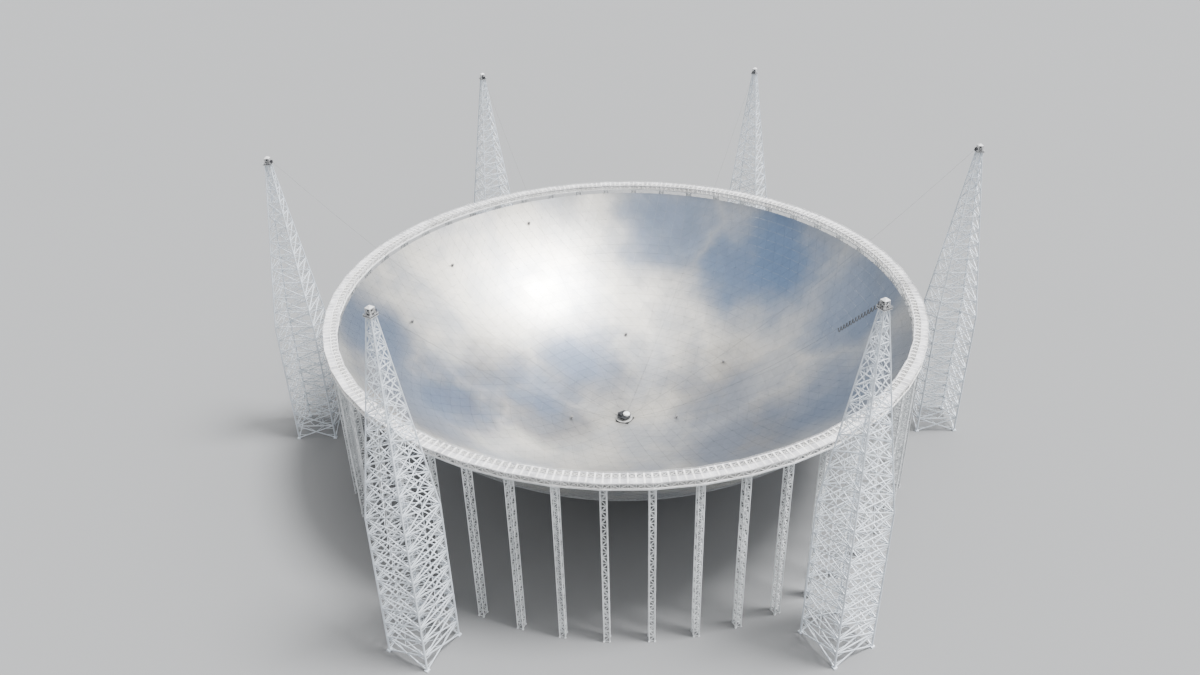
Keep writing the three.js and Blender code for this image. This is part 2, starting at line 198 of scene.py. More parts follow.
def repeated(copies, blocks):
    """Copies of one shape, an array of copies by points by xyz, with its face blocks counted on for each."""
    steps = np.arange(copies.shape[0]) * copies.shape[1]
    counted = [(block[None] + steps[:, None, None]).reshape(-1, block.shape[1]) for block in blocks]
    return copies.reshape(-1, 3), counted


def turned(shape, angles):
    """Copies of a shape turned about Z: (x cos a - y sin a, x sin a + y cos a, z) for each angle a."""
    x, y, z = shape[0].T
    cosine = np.cos(np.atleast_1d(angles))[:, None]
    sine = np.sin(np.atleast_1d(angles))[:, None]
    return repeated(points_of(x * cosine - y * sine, x * sine + y * cosine, z), shape[1])


def moved(shape, offset):
    """A shape carried by one offset."""
    return shape[0] + np.asarray(offset, float), shape[1]


def tube_faces(rows, corners):
    """Face blocks of a tube made of rows of corners: the walls between the rows, and the two flat ends."""
    near = np.arange(corners)
    after = (near + 1) % corners
    start = np.arange(rows - 1)[:, None] * corners
    walls = np.stack([start + near, start + after, start + after + corners, start + near + corners], axis=-1)
    return [walls.reshape(-1, 4), np.stack([near[::-1], near + corners * (rows - 1)])]


def circles(u, v, angle):
    """A circle at each point of a path: u cos a + v sin a, for u and v square to the path."""
    return np.cos(angle)[:, None] * u[:, None] + np.sin(angle)[:, None] * v[:, None]


def bars(starts, ends, radius, sides=4, end_radius=None):
    """Straight bars with flat ends: a corner is its end point plus radius (u cos a + v sin a).

    u and v are square to the bar, and a = 2 pi (k + 1/2) / sides for corner k.
    """
    starts = np.asarray(starts, float).reshape(-1, 3)
    ends = np.asarray(ends, float).reshape(-1, 3)
    along = unit(ends - starts)
    upright = np.abs(along[:, 2:]) > UPRIGHT
    u = unit(np.cross(np.where(upright, [[1.0, 0.0, 0.0]], [[0.0, 0.0, 1.0]]), along))
    circle = circles(u, np.cross(along, u), even_angles(sides, 0.5))
    end_radius = radius if end_radius is None else end_radius
    copies = np.concatenate([starts[:, None] + radius * circle, ends[:, None] + end_radius * circle], axis=1)
    return repeated(copies, tube_faces(2, sides))


def chain(points, radius, sides=4):
    """Bars from each point of a path to the next."""
    points = np.asarray(points, float)
    return bars(points[:-1], points[1:], radius, sides)


def blocks_at(centres, sizes):
    """Upright blocks: a corner is the centre plus half the size, with each of the eight mixes of signs."""
    centres = np.asarray(centres, float).reshape(-1, 1, 3)
    halves = np.broadcast_to(np.asarray(sizes, float) / 2, (len(centres), 3))[:, None]
    signs = np.array([[x, y, z] for z in (-1, 1) for x, y in ((-1, -1), (1, -1), (1, 1), (-1, 1))], float)
    faces = np.array([[3, 2, 1, 0], [4, 5, 6, 7], [0, 1, 5, 4], [1, 2, 6, 5], [2, 3, 7, 6], [3, 0, 4, 7]])
    return repeated(centres + halves * signs, [faces])


def revolved(profile, sides):
    """A profile of (radius, height) corners carried round Z, from its lowest corner up, with flat ends."""
    profile = np.asarray(profile, float)
    points = around(profile[:, :1], even_angles(sides, 0.5), profile[:, 1:])
    return points.reshape(-1, 3), tube_faces(len(profile), sides)


def swept_tube(path, radius, sides):
    """A round profile carried along a path in an upright plane, with flat ends.

    A corner is the path point plus radius (u cos a + v sin a), with u square to the plane, and v to u and
    the path.
    """
    path = np.asarray(path, float)
    along = unit(np.gradient(path, axis=0))
    u = np.broadcast_to(unit(np.cross([[0.0, 0.0, 1.0]], path[-1:] - path[:1])), path.shape)
    circle = circles(u, np.cross(along, u), even_angles(sides))
    return (path[:, None] + radius * circle).reshape(-1, 3), tube_faces(len(path), sides)


def ring_factor(angle):
    """How much nearer than a column the ring's straight side is: cos(b/2) / cos(a - b/2) in a bay of b."""
    in_bay = np.mod(np.asarray(angle, float), BAY_ANGLE)
    return math.cos(BAY_ANGLE / 2) / np.cos(in_bay - BAY_ANGLE / 2)


def ring_points(radius, angle, height):
    """Points of the fifty-sided ring: (r f cos a, r f sin a, z), with f from ring_factor."""
    return around(radius * ring_factor(angle), angle, height)


def ring_band(profile, angles, closed=False):
    """A profile of (radius, height) corners, taken anticlockwise, carried round the ring by ring_points."""
    profile = np.asarray(profile, float)
    corners = len(profile)
    points = ring_points(profile[None, :, 0], angles[:, None], profile[None, :, 1]).reshape(-1, 3)
    near = np.arange(corners)
    after = (near + 1) % corners
    count = len(angles)
    rows = np.arange(count if closed else count - 1)[:, None]
    later = (rows + 1) % count
    walls = np.stack([rows * corners + near, later * corners + near, later * corners + after,
                      rows * corners + after], axis=-1).reshape(-1, 4)
    if closed:
        return points, [walls]
    caps = np.stack([near, (near + corners * (count - 1))[::-1]])
    return points, [walls, caps]


def rectangle(low_radius, high_radius, low, high):
    """The four corners of an upright rectangle, anticlockwise, for ring_band."""
    return [(low_radius, low), (high_radius, low), (high_radius, high), (low_radius, high)]


def bowl_points(polar, azimuth, radius):
    """Points of the bowl: its centre plus r (sin t cos a, sin t sin a, -cos t)."""
    return BOWL_CENTRE + radius * around(np.sin(polar), azimuth, -np.cos(polar))


# Pieces

def make_mesh(name, shape):
    """A mesh from a shape, with every face flat."""
    points, blocks = shape
    corners = np.concatenate([block.ravel() for block in blocks])
    counts = np.concatenate([np.full(len(block), block.shape[1]) for block in blocks])
    mesh = bpy.data.meshes.new(name)
    mesh.vertices.add(len(points))
    mesh.vertices.foreach_set("co", points.astype(np.float32).ravel())
    mesh.loops.add(len(corners))
    mesh.loops.foreach_set("vertex_index", corners.astype(np.int32))
    mesh.polygons.add(len(counts))
    mesh.polygons.foreach_set("loop_start", (np.cumsum(counts) - counts).astype(np.int32))
    mesh.polygons.foreach_set("use_smooth", np.zeros(len(counts), bool))
    mesh.update(calc_edges=True)
    if mesh.validate():
        raise RuntimeError(f"the mesh of {name} has bad faces")
    return mesh


def add_object(name, data):
    """A new object in the scene."""
    item = bpy.data.objects.new(name, data)
    bpy.context.scene.collection.objects.link(item)
    return item


def make_piece(name, shape, material, replaced=()):
    """An object for one piece: it rides on the frame, takes a finish and stands for its CAD nodes."""
    piece = add_object(name, make_mesh(name, shape))
    piece.data.materials.append(material)
    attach(piece, "root")
    if replaced:
        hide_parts(*replaced)
    return piece


def numbered(word, index):
    """A piece's or node's name with a two-figure number counted from one."""
    return f"{word}_{index + 1:02d}"


def make_numbered(word, index, shape, material, node=""):
    """A piece with a number in its name, in place of the node with the same number if one is named."""
    return make_piece(numbered(word, index), shape, material, [numbered(node, index)] if node else ())


# Finishes

# The bowl's painted light, in patches of painted sky reflection, painted shade and painted bright reflection:
# the middle of each and its reach, in full-size metres, and how far it goes
# Cool blue-grey patches: painted reflection of the sky
PAINTED_SKY_REFLECTIONS = (
    ((165, 150, 104), 150, 0.95),
    ((128, 155, 88), 110, 0.9),
    ((60, 215, 118), 120, 0.8),
    ((225, 40, 115), 130, 0.8),
    ((190, -70, 80), 120, 0.7),
    ((-44, 84, 20), 90, 0.55),
    ((-84, 22, 18), 65, 0.6),
    ((-186, -42, 70), 95, 0.45),
    ((-228, -14, 110), 105, 0.55),
)
# Darker grey patches: painted shade
PAINTED_SHADE_PATCHES = (
    ((-185, -75, 80), 120, 0.85),
    ((-158, -38, 52), 105, 0.98),
    ((-222, -20, 105), 105, 0.78),
    ((-82, -10, 16), 90, 0.72),
    ((0, -150, 45), 170, 0.42),
    ((98, 15, 22), 90, 0.55),
    ((110, -90, 40), 130, 0.65),
    ((-120, 30, 34), 75, 0.72),
    ((-38, 70, 16), 110, 0.66),
)
# Lighter patches: painted bright reflection
PAINTED_BRIGHT_REFLECTIONS = (
    ((-78, 162, 66), 80, 0.9),
    ((45, 126, 40), 85, 1.0),
    ((-30, 220, 112), 70, 0.7),
    ((232, 66, 125), 60, 0.8),
)
# The scale of patches, streaks and orange peel in the noise of a painted finish, for a grain of 1
PATCH_SCALE, STREAK_SCALE, PEEL_SCALE = 0.35, 3, 40
# How far the noise carries the edge of a patch of painted light, in metres of the model
DRIFT_WANDER = 5.0
# Small triangular sheets along each side of a panel
SHEETS = 10.0
# How much each finer octave of a noise counts, against the one before
NOISE_ROUGHNESS = 0.55


def add_node(tree, kind, inputs=None, **settings):
    """A shader node with its settings, and its inputs set to values or linked to other nodes' outputs.

    The kind is the node's type without the word ShaderNode before it.
    """
    item = tree.nodes.new("ShaderNode" + kind)
    for name, value in settings.items():
        setattr(item, name, value)
    for name, value in (inputs or {}).items():
        if isinstance(value, bpy.types.NodeSocket):
            tree.links.new(value, item.inputs[name])
        else:
            item.inputs[name].default_value = value
    return item


def new_finish(name):
    """A material with one Principled shader, its node tree, and the place of each point on its object."""
    material = bpy.data.materials.get(name)
    if material:
        bpy.data.materials.remove(material)
    material = bpy.data.materials.new(name)
    material.use_nodes = True
    tree = material.node_tree
    shader = tree.nodes["Principled BSDF"]
    place = add_node(tree, "TexCoord").outputs["Object"]
    return material, tree, shader, place


def noise(tree, place, scale, detail=4.0, stretch=(1, 1, 1)):
    """Soft noise between 0 and 1 over the object's own coordinates, stretched along each axis."""
    mapping = add_node(tree, "Mapping", {"Vector": place, "Scale": stretch})
    inputs = {"Vector": mapping.outputs["Vector"], "Scale": scale, "Detail": detail,
              "Roughness": NOISE_ROUGHNESS}
    return add_node(tree, "TexNoise", inputs).outputs["Fac"]


def ranged(tree, value, low, high, new_low, new_high, easing="LINEAR"):
    """A value taken from one range to another, and held there at its ends."""
    inputs = {"Value": value, "From Min": low, "From Max": high, "To Min": new_low, "To Max": new_high}
    return add_node(tree, "MapRange", inputs, interpolation_type=easing).outputs["Result"]


def maths(tree, operation, first, second):
    """What an operation makes of two values."""
    return add_node(tree, "Math", {0: first, 1: second}, operation=operation).outputs[0]


def mixed(tree, factor, first, second, blend="MIX"):
    """Two colours mixed by a factor: inputs 6 and 7 of the node take colours, and output 2 gives one."""
    inputs = {0: factor, 6: first, 7: second}
    return add_node(tree, "Mix", inputs, data_type="RGBA", blend_type=blend).outputs[2]


def opaque(colour, level=1.0):
    """A colour of four parts from three, made lighter or darker by a level."""
    return (*[part * level for part in colour], 1.0)


def relief(tree, shader, height, strength, distance, invert=False):
    """Bump on a shader from a height."""
    inputs = {"Height": height, "Strength": strength, "Distance": distance}
    bump = add_node(tree, "Bump", inputs, invert=invert)
    tree.links.new(bump.outputs["Normal"], shader.inputs["Normal"])


def uneven_gloss(tree, shader, height, roughness, spread):
    """Roughness that goes up and down by a spread with the height of a noise."""
    level = ranged(tree, height, 0.3, 0.7, roughness - spread, roughness + spread)
    tree.links.new(level, shader.inputs["Roughness"])


def weathered_finish(name, colour, worn, roughness, metallic, grain=2.0):
    """Painted or bare metal: tone drifts in patches, with rain streaks down it and a fine orange peel."""
    material, tree, shader, place = new_finish(name)
    patches = ranged(tree, noise(tree, place, PATCH_SCALE * grain), 0.35, 0.7, 0.0, 1.0)
    streaks = noise(tree, place, STREAK_SCALE * grain, stretch=(1, 1, 0.08))
    tone = mixed(tree, patches, opaque(colour), opaque(worn))
    tone = mixed(tree, ranged(tree, streaks, 0.5, 0.8, 0.0, 0.5), tone, opaque(worn, 0.8))
    tree.links.new(tone, shader.inputs["Base Color"])
    fine = noise(tree, place, PEEL_SCALE * grain)
    uneven_gloss(tree, shader, fine, roughness, 0.08)
    shader.inputs["Metallic"].default_value = metallic
    relief(tree, shader, fine, 0.3, 0.003)
    return material


def painted_light_panel_finish(settings):
    """Satin perforated aluminium: cloudy painted sky reflection, painted shade and painted bright reflection,
    each panel a little its own, and sheet seams.
    """
    material, tree, shader, place = new_finish("satin_panel_metal_painted_reflections")
    # Painted sky reflection: cloudy noise, and the cool patches on top of it
    painted_cloud_reflection = ranged(tree, noise(tree, place, 0.3, detail=7.0), 0.42, 0.62, 0.0, 0.38)
    painted_sky_share = maths(tree, "MAXIMUM", painted_cloud_reflection, drifts(tree, place, PAINTED_SKY_REFLECTIONS))
    # Painted shade: darker grey patches
    dull = drifts(tree, place, PAINTED_SHADE_PATCHES)
    # Painted bright reflection: lighter patches
    light = drifts(tree, place, PAINTED_BRIGHT_REFLECTIONS)
    tone = mixed(tree, light, opaque(settings.panel_colour), opaque(settings.painted_bright_reflection_colour))
    tone = mixed(tree, dull, tone, opaque(settings.painted_shade_colour))
    tone = mixed(tree, painted_sky_share, tone, opaque(settings.painted_sky_colour))
    own = add_node(tree, "Attribute", attribute_name="panel_tone").outputs["Fac"]
    tone = mixed(tree, 1.0, tone, ranged(tree, own, 0.0, 1.0, 0.93, 1.0), "MULTIPLY")
    seams = sheet_seams(tree)
    tone = mixed(tree, seams, tone, mixed(tree, 1.0, tone, opaque((0.8, 0.8, 0.8)), "MULTIPLY"))
    tree.links.new(tone, shader.inputs["Base Color"])
    uneven_gloss(tree, shader, noise(tree, place, 0.8, detail=6.0), settings.panel_roughness, 0.05)
    shader.inputs["Metallic"].default_value = settings.panel_metallic
    relief(tree, shader, seams, 0.4, 0.002, invert=True)
    return material


def drifts(tree, place, places):
    """How far the bowl takes the tone of one set of painted light patches: most in the middle of each, with a
    wandering edge.
    """
    wander = add_node(tree, "TexNoise", {"Vector": place, "Scale": 0.35, "Detail": 5.0})
    inputs = {0: wander.outputs["Color"], 1: (DRIFT_WANDER,) * 3, 2: place}
    shifted = add_node(tree, "VectorMath", inputs, operation="MULTIPLY_ADD").outputs[0]
    most = None
    for middle, reach, depth in places:
        inputs = {0: shifted, 1: tuple(real(value) + DRIFT_WANDER / 2 for value in middle)}
        away = add_node(tree, "VectorMath", inputs, operation="DISTANCE").outputs["Value"]
        here = ranged(tree, away, 0.1 * real(reach), real(reach), depth, 0.0, "SMOOTHERSTEP")
        most = here if most is None else maths(tree, "MAXIMUM", most, here)
    return most


def sheet_seams(tree):
    """1 on the seams of the small triangular sheets of a panel, and 0 elsewhere, from the panel's own UVs.

    The seams are where n u, n v or n (u + v) comes near a whole number, for n sheets along a side.
    """
    corners = add_node(tree, "UVMap", uv_map="panel").outputs["UV"]
    parts = add_node(tree, "SeparateXYZ", {"Vector": corners}).outputs
    seam = None
    for value in (parts["X"], parts["Y"], maths(tree, "ADD", parts["X"], parts["Y"])):
        wave = maths(tree, "PINGPONG", maths(tree, "MULTIPLY", value, SHEETS), 0.5)
        near = ranged(tree, wave, 0.02, 0.06, 1.0, 0.0)
        seam = near if seam is None else maths(tree, "MAXIMUM", seam, near)
    return seam


# Settings that a user would change

def length_setting(name, description, length):
    """A length, given in full-size metres and kept in metres of the model."""
    return FloatProperty(name=name, description=description, default=real(length), min=0.0, unit="LENGTH")


def count_setting(name, description, default, least):
    """A whole number that doesn't go below the least one."""
    return IntProperty(name=name, description=description, default=default, min=least)


def factor_setting(name, description, default):
    """A number between 0 and 1."""
    return FloatProperty(name=name, description=description, default=default, min=0.0, max=1.0,
                         subtype="FACTOR")


def strength_setting(name, description, default):
    """The strength of a light."""
    return FloatProperty(name=name, description=description, default=default, min=0.0)


def colour_setting(name, description, default):
    """A colour."""
    return FloatVectorProperty(name=name, description=description, default=default, min=0.0, max=1.0,
                               subtype="COLOR")


class BowlSettings(bpy.types.PropertyGroup):
    """Sizes and finish of the bowl, with the colours of its painted reflections and painted shade."""
    rings: count_setting("Rings", "Rings of panels from the middle to the rim", 29, 6)
    gap: length_setting("Panel gap", "Clear space between two panels", 0.1)
    thickness: length_setting("Panel thickness", "Depth of a panel from face to back", 0.3)
    net_depth: length_setting("Net depth", "Distance of the cable net behind the panel faces", 1.5)
    net_radius: length_setting("Net cable radius", "Radius of a cable of the net", 0.09)
    panel_colour: colour_setting("Panel colour", "Light tone of the panels", (0.655, 0.63, 0.575))
    # Colour of the painted bright reflection on the bowl
    painted_bright_reflection_colour: colour_setting("Light colour", "Lightest tone that the panels drift to", (0.9, 0.87, 0.8))
    # Colour of the painted sky reflection on the bowl
    painted_sky_colour: colour_setting("Shade colour", "Cool tone that the panels drift to", (0.1, 0.17, 0.3))
    # Colour of the painted shade on the bowl
    painted_shade_colour: colour_setting("Dull colour", "Grey tone that the panels drift to", (0.052, 0.063, 0.095))
    panel_roughness: factor_setting("Panel roughness", "How dull the panels are", 0.36)
    panel_metallic: factor_setting("Panel metallic", "How metallic the panels look", 0.8)


class RingSettings(bpy.types.PropertyGroup):
    """Sizes and finish of the ring girder and its columns."""
    panels: count_setting("Girder panels", "Lattice panels between two columns", 6, 2)
    chord_radius: length_setting("Chord radius", "Radius of the girder's long tubes", 0.42)
    brace_radius: length_setting("Brace radius", "Radius of the girder's struts and diagonals", 0.36)
    beam_radius: length_setting("Cross beam radius", "Radius of the cross beams in the girder's top", 0.85)
    walkway_width: length_setting("Walkway width", "Width of the deck along the outer edge", 5.6)
    plate_gap: length_setting("Plate gap", "Open joint between two plates of the deck", 1.1)
    rail_height: length_setting("Rail height", "Height of the railings above the deck", 1.2)
    column_panels: count_setting("Column panels", "Lattice panels up a column", 28, 4)
    column_width: length_setting("Column width", "Width of a column along the ring", 5)
    column_depth: length_setting("Column depth", "Width of a column across the ring", 6)
    leg_radius: length_setting("Leg radius", "Radius of a column's legs", 0.45)
    column_brace_radius: length_setting("Column brace radius", "Radius of a column's braces", 0.27)
    paint: colour_setting("Ring paint", "Paint of the girder and its deck", (0.88, 0.875, 0.87))
    column_paint: colour_setting("Column paint", "Paint of the columns", (0.8, 0.82, 0.83))


class TowerSettings(bpy.types.PropertyGroup):
    """Sizes and finish of the towers and their heads."""
    upper_panels: count_setting("Upper panels", "Lattice panels above the waist", 12, 3)
    lower_panels: count_setting("Lower panels", "Lattice panels below the waist", 9, 3)
    foot_radius: length_setting("Leg radius at the foot", "Radius of a leg at the floor", 0.8)
    top_radius: length_setting("Leg radius at the top", "Radius of a leg under the head", 0.42)
    brace_radius: length_setting("Brace radius", "Radius of the main braces", 0.5)
    light_radius: length_setting("Light brace radius", "Radius of the lighter braces", 0.2)
    paint: colour_setting("Tower paint", "Paint of the towers", (0.69, 0.74, 0.8))
    head_paint: colour_setting("Head paint", "Paint of the pulley houses", (0.7, 0.71, 0.72))


class CabinSettings(bpy.types.PropertyGroup):
    """Sizes and finish of the cables, the receiver cabin and its dock."""
    cable_radius: length_setting("Cable radius", "Radius of a support cable", 0.06)
    sag: length_setting("Cable sag", "How far a support cable hangs below a straight line", 14)
    # Near-black: the cabin's own dark paint, and painted shade of its shadow side
    cabin_colour_with_painted_shade: colour_setting("Cabin colour", "Paint of the cabin's body and frame", (0.02, 0.022, 0.025))
    roof_colour: colour_setting("Roof colour", "Paint of the cabin's roof", (0.85, 0.85, 0.84))
    rope_colour: colour_setting("Cable colour", "Tone of the greased steel cables", (0.12, 0.13, 0.14))
    dock_colour: colour_setting("Dock colour", "Tone of the dock", (0.3, 0.3, 0.295))


class StudioSettings(bpy.types.PropertyGroup):
    """The floor and the lights."""
    floor_colour: colour_setting("Floor colour", "Tone of the pale floor", (0.2, 0.204, 0.208))
    key_strength: strength_setting("Key strength", "Strength of the sun-like key light", 8.5)
    soft_strength: strength_setting("Soft strength", "Strength of the wide soft light", 2.4)
    sky_strength: strength_setting("Sky strength", "Strength of the even light", 1.2)
    high_colour: colour_setting("High light", "Colour of the even light from above", (1.0, 0.99, 0.98))
    low_colour: colour_setting("Low light", "Colour of the even light near the floor", (0.5, 0.56, 0.64))
    dim_height: factor_setting("Dim height", "Height over distance where the dimming ends", 0.6)


# The bowl

def net_corner(ring, step, sector, rings):
    """Polar angle and azimuth of a node of the net: ring i of a sector has i equal steps round the bowl."""
    ring = np.asarray(ring, float)
    polar = RIM_ANGLE * ring / rings
    azimuth = TAU / BOWL_SECTORS * (sector + step / np.maximum(ring, 1))
    return polar, azimuth


def net_nodes(ring, step):
    """The ring and the step of some nodes of the net, as two rows."""
    return np.stack([0 * step + ring, step])


def panel_corners(first, last, sector, rings):
    """The three nodes of each panel between two rings of the net, anticlockwise seen from inside the bowl."""
    triangles = []
    for ring in range(first, last):
        step = np.arange(ring + 1)
        triangles.append([net_nodes(ring, step), net_nodes(ring + 1, step), net_nodes(ring + 1, step + 1)])
        step = np.arange(ring)
        triangles.append([net_nodes(ring, step), net_nodes(ring + 1, step + 1), net_nodes(ring, step + 1)])
    ring, step = np.moveaxis(np.concatenate(triangles, axis=2), 1, 0)
    return net_corner(ring.T, step.T, sector, rings)


def panel_shape(first, last, sectors, settings):
    """Flat triangular panels: each corner is drawn in to the panel's middle and has a back behind it."""
    fronts, backs = [], []
    spacing = BOWL_RADIUS * RIM_ANGLE / settings.rings
    drawn_in = 1 - math.sqrt(3) * settings.gap / spacing
    for sector in sectors:
        polar, azimuth = panel_corners(first, last, sector, settings.rings)
        for radius, found in ((BOWL_RADIUS, fronts), (BOWL_RADIUS + settings.thickness, backs)):
            corners = bowl_points(polar, azimuth, radius)
            middle = corners.mean(axis=1, keepdims=True)
            found.append(middle + (corners - middle) * drawn_in)
    copies = np.concatenate([np.concatenate(fronts), np.concatenate(backs)], axis=1)
    faces = np.array([[0, 1, 2], [3, 5, 4]])
    edges = np.array([[0, 3, 4, 1], [1, 4, 5, 2], [2, 5, 3, 0]])
    return repeated(copies, [faces, edges])


def finish_panels(piece, seed):
    """Gives each panel its own tone, its UV triangle, and normals that follow the smooth bowl."""
    mesh = piece.data
    panels = len(mesh.vertices) // PANEL_POINTS
    tones = np.repeat(np.random.default_rng(seed).random(panels), PANEL_POINTS)
    mesh.attributes.new("panel_tone", "FLOAT", "POINT").data.foreach_set("value", tones)
    corners = np.empty(len(mesh.loops), np.int32)
    mesh.loops.foreach_get("vertex_index", corners)
    places = np.empty(len(mesh.vertices) * 3, np.float32)
    mesh.vertices.foreach_get("co", places)
    triangle = np.array([[0, 0], [1, 0], [0, 1]], np.float32)
    mesh.uv_layers.new(name="panel").data.foreach_set("uv", triangle[corners % 3].ravel())
    ways = unit(BOWL_CENTRE - places.reshape(-1, 3))
    ways[np.arange(len(ways)) % PANEL_POINTS > 2] *= -1
    normals = ways[corners]
    # After the fronts and backs come the edges, which keep their flat normals
    normals[panels * PANEL_POINTS:] = 0
    mesh.normals_split_custom_set(normals.tolist())


def net_shape(sector, settings):
    """The cable net behind a fifth of the bowl: cables, plates where they meet, and props to the panels."""
    rings = settings.rings
    starts, ends, nodes = [], [], []
    for ring in range(1, rings + 1):
        step = np.arange(ring)
        nodes.append(net_nodes(ring, step))
        starts.append(net_nodes(ring, step))
        ends.append(net_nodes(ring, step + 1))
        if ring < rings:
            inner = np.arange(ring + 1)
            starts += [net_nodes(ring, inner), net_nodes(ring, step)]
            ends += [net_nodes(ring + 1, inner), net_nodes(ring + 1, step + 1)]
    depth = BOWL_RADIUS + settings.net_depth
    plate = real(0.15)

    def places(found, radius):
        ring, step = np.concatenate(found, axis=1)
        return bowl_points(*net_corner(ring, step, sector, rings), radius)

    cables = bars(places(starts, depth), places(ends, depth), settings.net_radius)
    plates = bars(places(nodes, depth - plate), places(nodes, depth + plate), real(0.42), sides=6)
    props = bars(places(nodes, BOWL_RADIUS + settings.thickness / 2), places(nodes, depth), real(0.13))
    return join(cables, plates, props)


def hanger_shape(settings):
    """Pairs of short cables from the ring's bearing frame down to each node on the rim of the net."""
    count = BOWL_SECTORS * settings.rings
    angle = even_angles(count)
    nodes = bowl_points(RIM_ANGLE, angle, BOWL_RADIUS + settings.net_depth)
    shapes = []
    for side in (-HANGER_SPREAD, HANGER_SPREAD):
        tops = ring_points(RING_INNER + real(0.5), angle + side * TAU / count, BEARING_BOTTOM + real(0.1))
        shapes.append(bars(nodes, tops, real(0.09)))
    return join(*shapes)


def post_shape():
    """Slim survey posts that stand on the floor and come up through the bowl, with a hooded head each."""
    on_bowl = bowl_points(np.arcsin(POST_DISTANCES / BOWL_RADIUS), POST_AZIMUTHS, BOWL_RADIUS)
    necks = on_bowl + reals(0, 0, 1.6)
    shafts = bars(on_bowl * [1, 1, 0], necks, real(0.55), sides=8)
    heads = blocks_at(necks + reals(0, 0, 0.5), reals(2.2, 2.2, 1.2))
    hoods = bars(necks + reals(0, 0, 1.1), necks + reals(0, 0, 1.5), real(2.0), end_radius=real(1.1))
    return join(shafts, heads, hoods)


# The ring girder and its columns

def lattice_points(first, last, panels):
    """The angles of the lattice's panel points over a run of bays, both ends included."""
    return np.arange(first * panels, last * panels + 1) * BAY_ANGLE / panels


def zigzag(radius_a, height_a, radius_b, height_b, angles, brace):
    """Diagonals that go to and fro between two chords, from each panel point to the next."""
    odd = np.arange(len(angles) - 1) % 2 == 1
    near = ring_points(np.where(odd, radius_b, radius_a), angles[:-1], np.where(odd, height_b, height_a))
    far = ring_points(np.where(odd, radius_a, radius_b), angles[1:], np.where(odd, height_a, height_b))
    return bars(near, far, brace)


def straight(radius_a, height_a, radius_b, height_b, angles, brace):
    """Struts from one chord to another at each panel point."""
    return bars(ring_points(radius_a, angles, height_a), ring_points(radius_b, angles, height_b), brace)


def girder_shape(first, last, settings):
    """The girder's lattice over a run of bays: six chords, struts between them, diagonals in each face."""
    inset = settings.chord_radius
    inner, outer = RING_INNER + inset, RING_OUTER - inset
    middle = RING_OUTER - settings.walkway_width
    low, high = GIRDER_BOTTOM + inset, RING_TOP - inset
    angles = lattice_points(first, last, settings.panels)
    columns = lattice_points(first, last, 1)
    brace = settings.brace_radius
    light = brace * LIGHT_BRACE
    shapes = []
    for radius in (inner, middle, outer):
        for height in (low, high):
            shapes.append(chain(ring_points(radius, columns, height), settings.chord_radius, sides=8))
        shapes.append(straight(radius, low, radius, high, angles[:-1], brace))
    for height, thick, thin in ((low, brace, brace), (high, settings.beam_radius, light)):
        shapes.append(straight(inner, height, outer, height, angles[:-1], thick))
        shapes.append(zigzag(inner, height, middle, height, angles, thin))
    return join(*shapes, zigzag(middle, low, outer, low, angles, brace),
                zigzag(inner, low, inner, high, angles, brace),
                zigzag(outer, low, outer, high, angles, brace),
                straight(inner, low, middle, high, angles[:-1], brace),
                zigzag(middle, high, inner, high, angles, light))


def walkway_shape(settings):
    """The deck along the ring's outer edge, in plates with kerbs, and a narrow catwalk along the inner edge.

    The plates of one bay are made with a gap between each two, and copied round the ring.
    """
    edges = lattice_points(0, 1, settings.panels)
    gap = settings.plate_gap / 2 / RING_OUTER
    deck_inner = RING_OUTER - settings.walkway_width
    thick, kerb, kerb_top = real(0.12), real(0.1), RING_TOP + real(0.2)
    plate = rectangle(deck_inner, RING_OUTER, RING_TOP - thick, RING_TOP)
    plates = [ring_band(plate, np.array([near + gap, far - gap])) for near, far in zip(edges[:-1], edges[1:])]
    bay = turned(join(*plates), np.arange(BAYS) * BAY_ANGLE)
    strips = [
        rectangle(deck_inner, deck_inner + kerb, RING_TOP, kerb_top),
        rectangle(RING_OUTER - kerb, RING_OUTER, RING_TOP, kerb_top),
        rectangle(RING_INNER, RING_INNER + real(1.1), RING_TOP - thick, RING_TOP),
    ]
    angles = lattice_points(0, BAYS, settings.panels)[:-1]
    return join(bay, *[ring_band(strip, angles, closed=True) for strip in strips])


def railing_shape(settings):
    """Posts and two rails along both edges of the walkway and along the bowl's edge."""
    posts = lattice_points(0, BAYS, 2 * settings.panels)[:-1]
    columns = lattice_points(0, BAYS, 1)
    tube = real(0.05)
    deck_inner = RING_OUTER - settings.walkway_width
    shapes = []
    for radius in (RING_INNER + real(0.15), deck_inner + real(0.2), RING_OUTER - real(0.2)):
        shapes.append(straight(radius, RING_TOP, radius, RING_TOP + settings.rail_height, posts, tube))
        for share in (0.5, 1.0):
            rail = ring_points(radius, columns, RING_TOP + share * settings.rail_height)
            shapes.append(chain(rail, tube))
    return join(*shapes)


def column_shape(settings):
    """One column at azimuth 0: four tube legs on pads, with rungs and a zigzag on each of its four faces."""
    middle = RING_INNER + real(5.5)
    depth = settings.column_depth / 2 - settings.leg_radius
    width = settings.column_width / 2 - settings.leg_radius
    foot, pad = real(0.7), real(1.3)
    levels = np.linspace(foot, BEARING_BOTTOM, settings.column_panels + 1)
    odd = (np.arange(len(levels) - 1) % 2 == 1)[:, None]
    corners = np.array([[middle + depth, -width], [middle + depth, width],
                        [middle - depth, width], [middle - depth, -width]])
    brace = settings.column_brace_radius
    shapes = []
    for place, other in zip(corners, np.roll(corners, -1, axis=0)):
        here, there = points_of(*place, levels), points_of(*other, levels)
        shapes += [
            bars([*place, LEG_START], [*place, BEARING_BOTTOM], settings.leg_radius, sides=8),
            blocks_at([*place, foot / 2], [pad, pad, foot]),
            bars(here, there, brace),
            bars(np.where(odd, there[:-1], here[:-1]), np.where(odd, here[1:], there[1:]), brace),
        ]
    return join(*shapes)


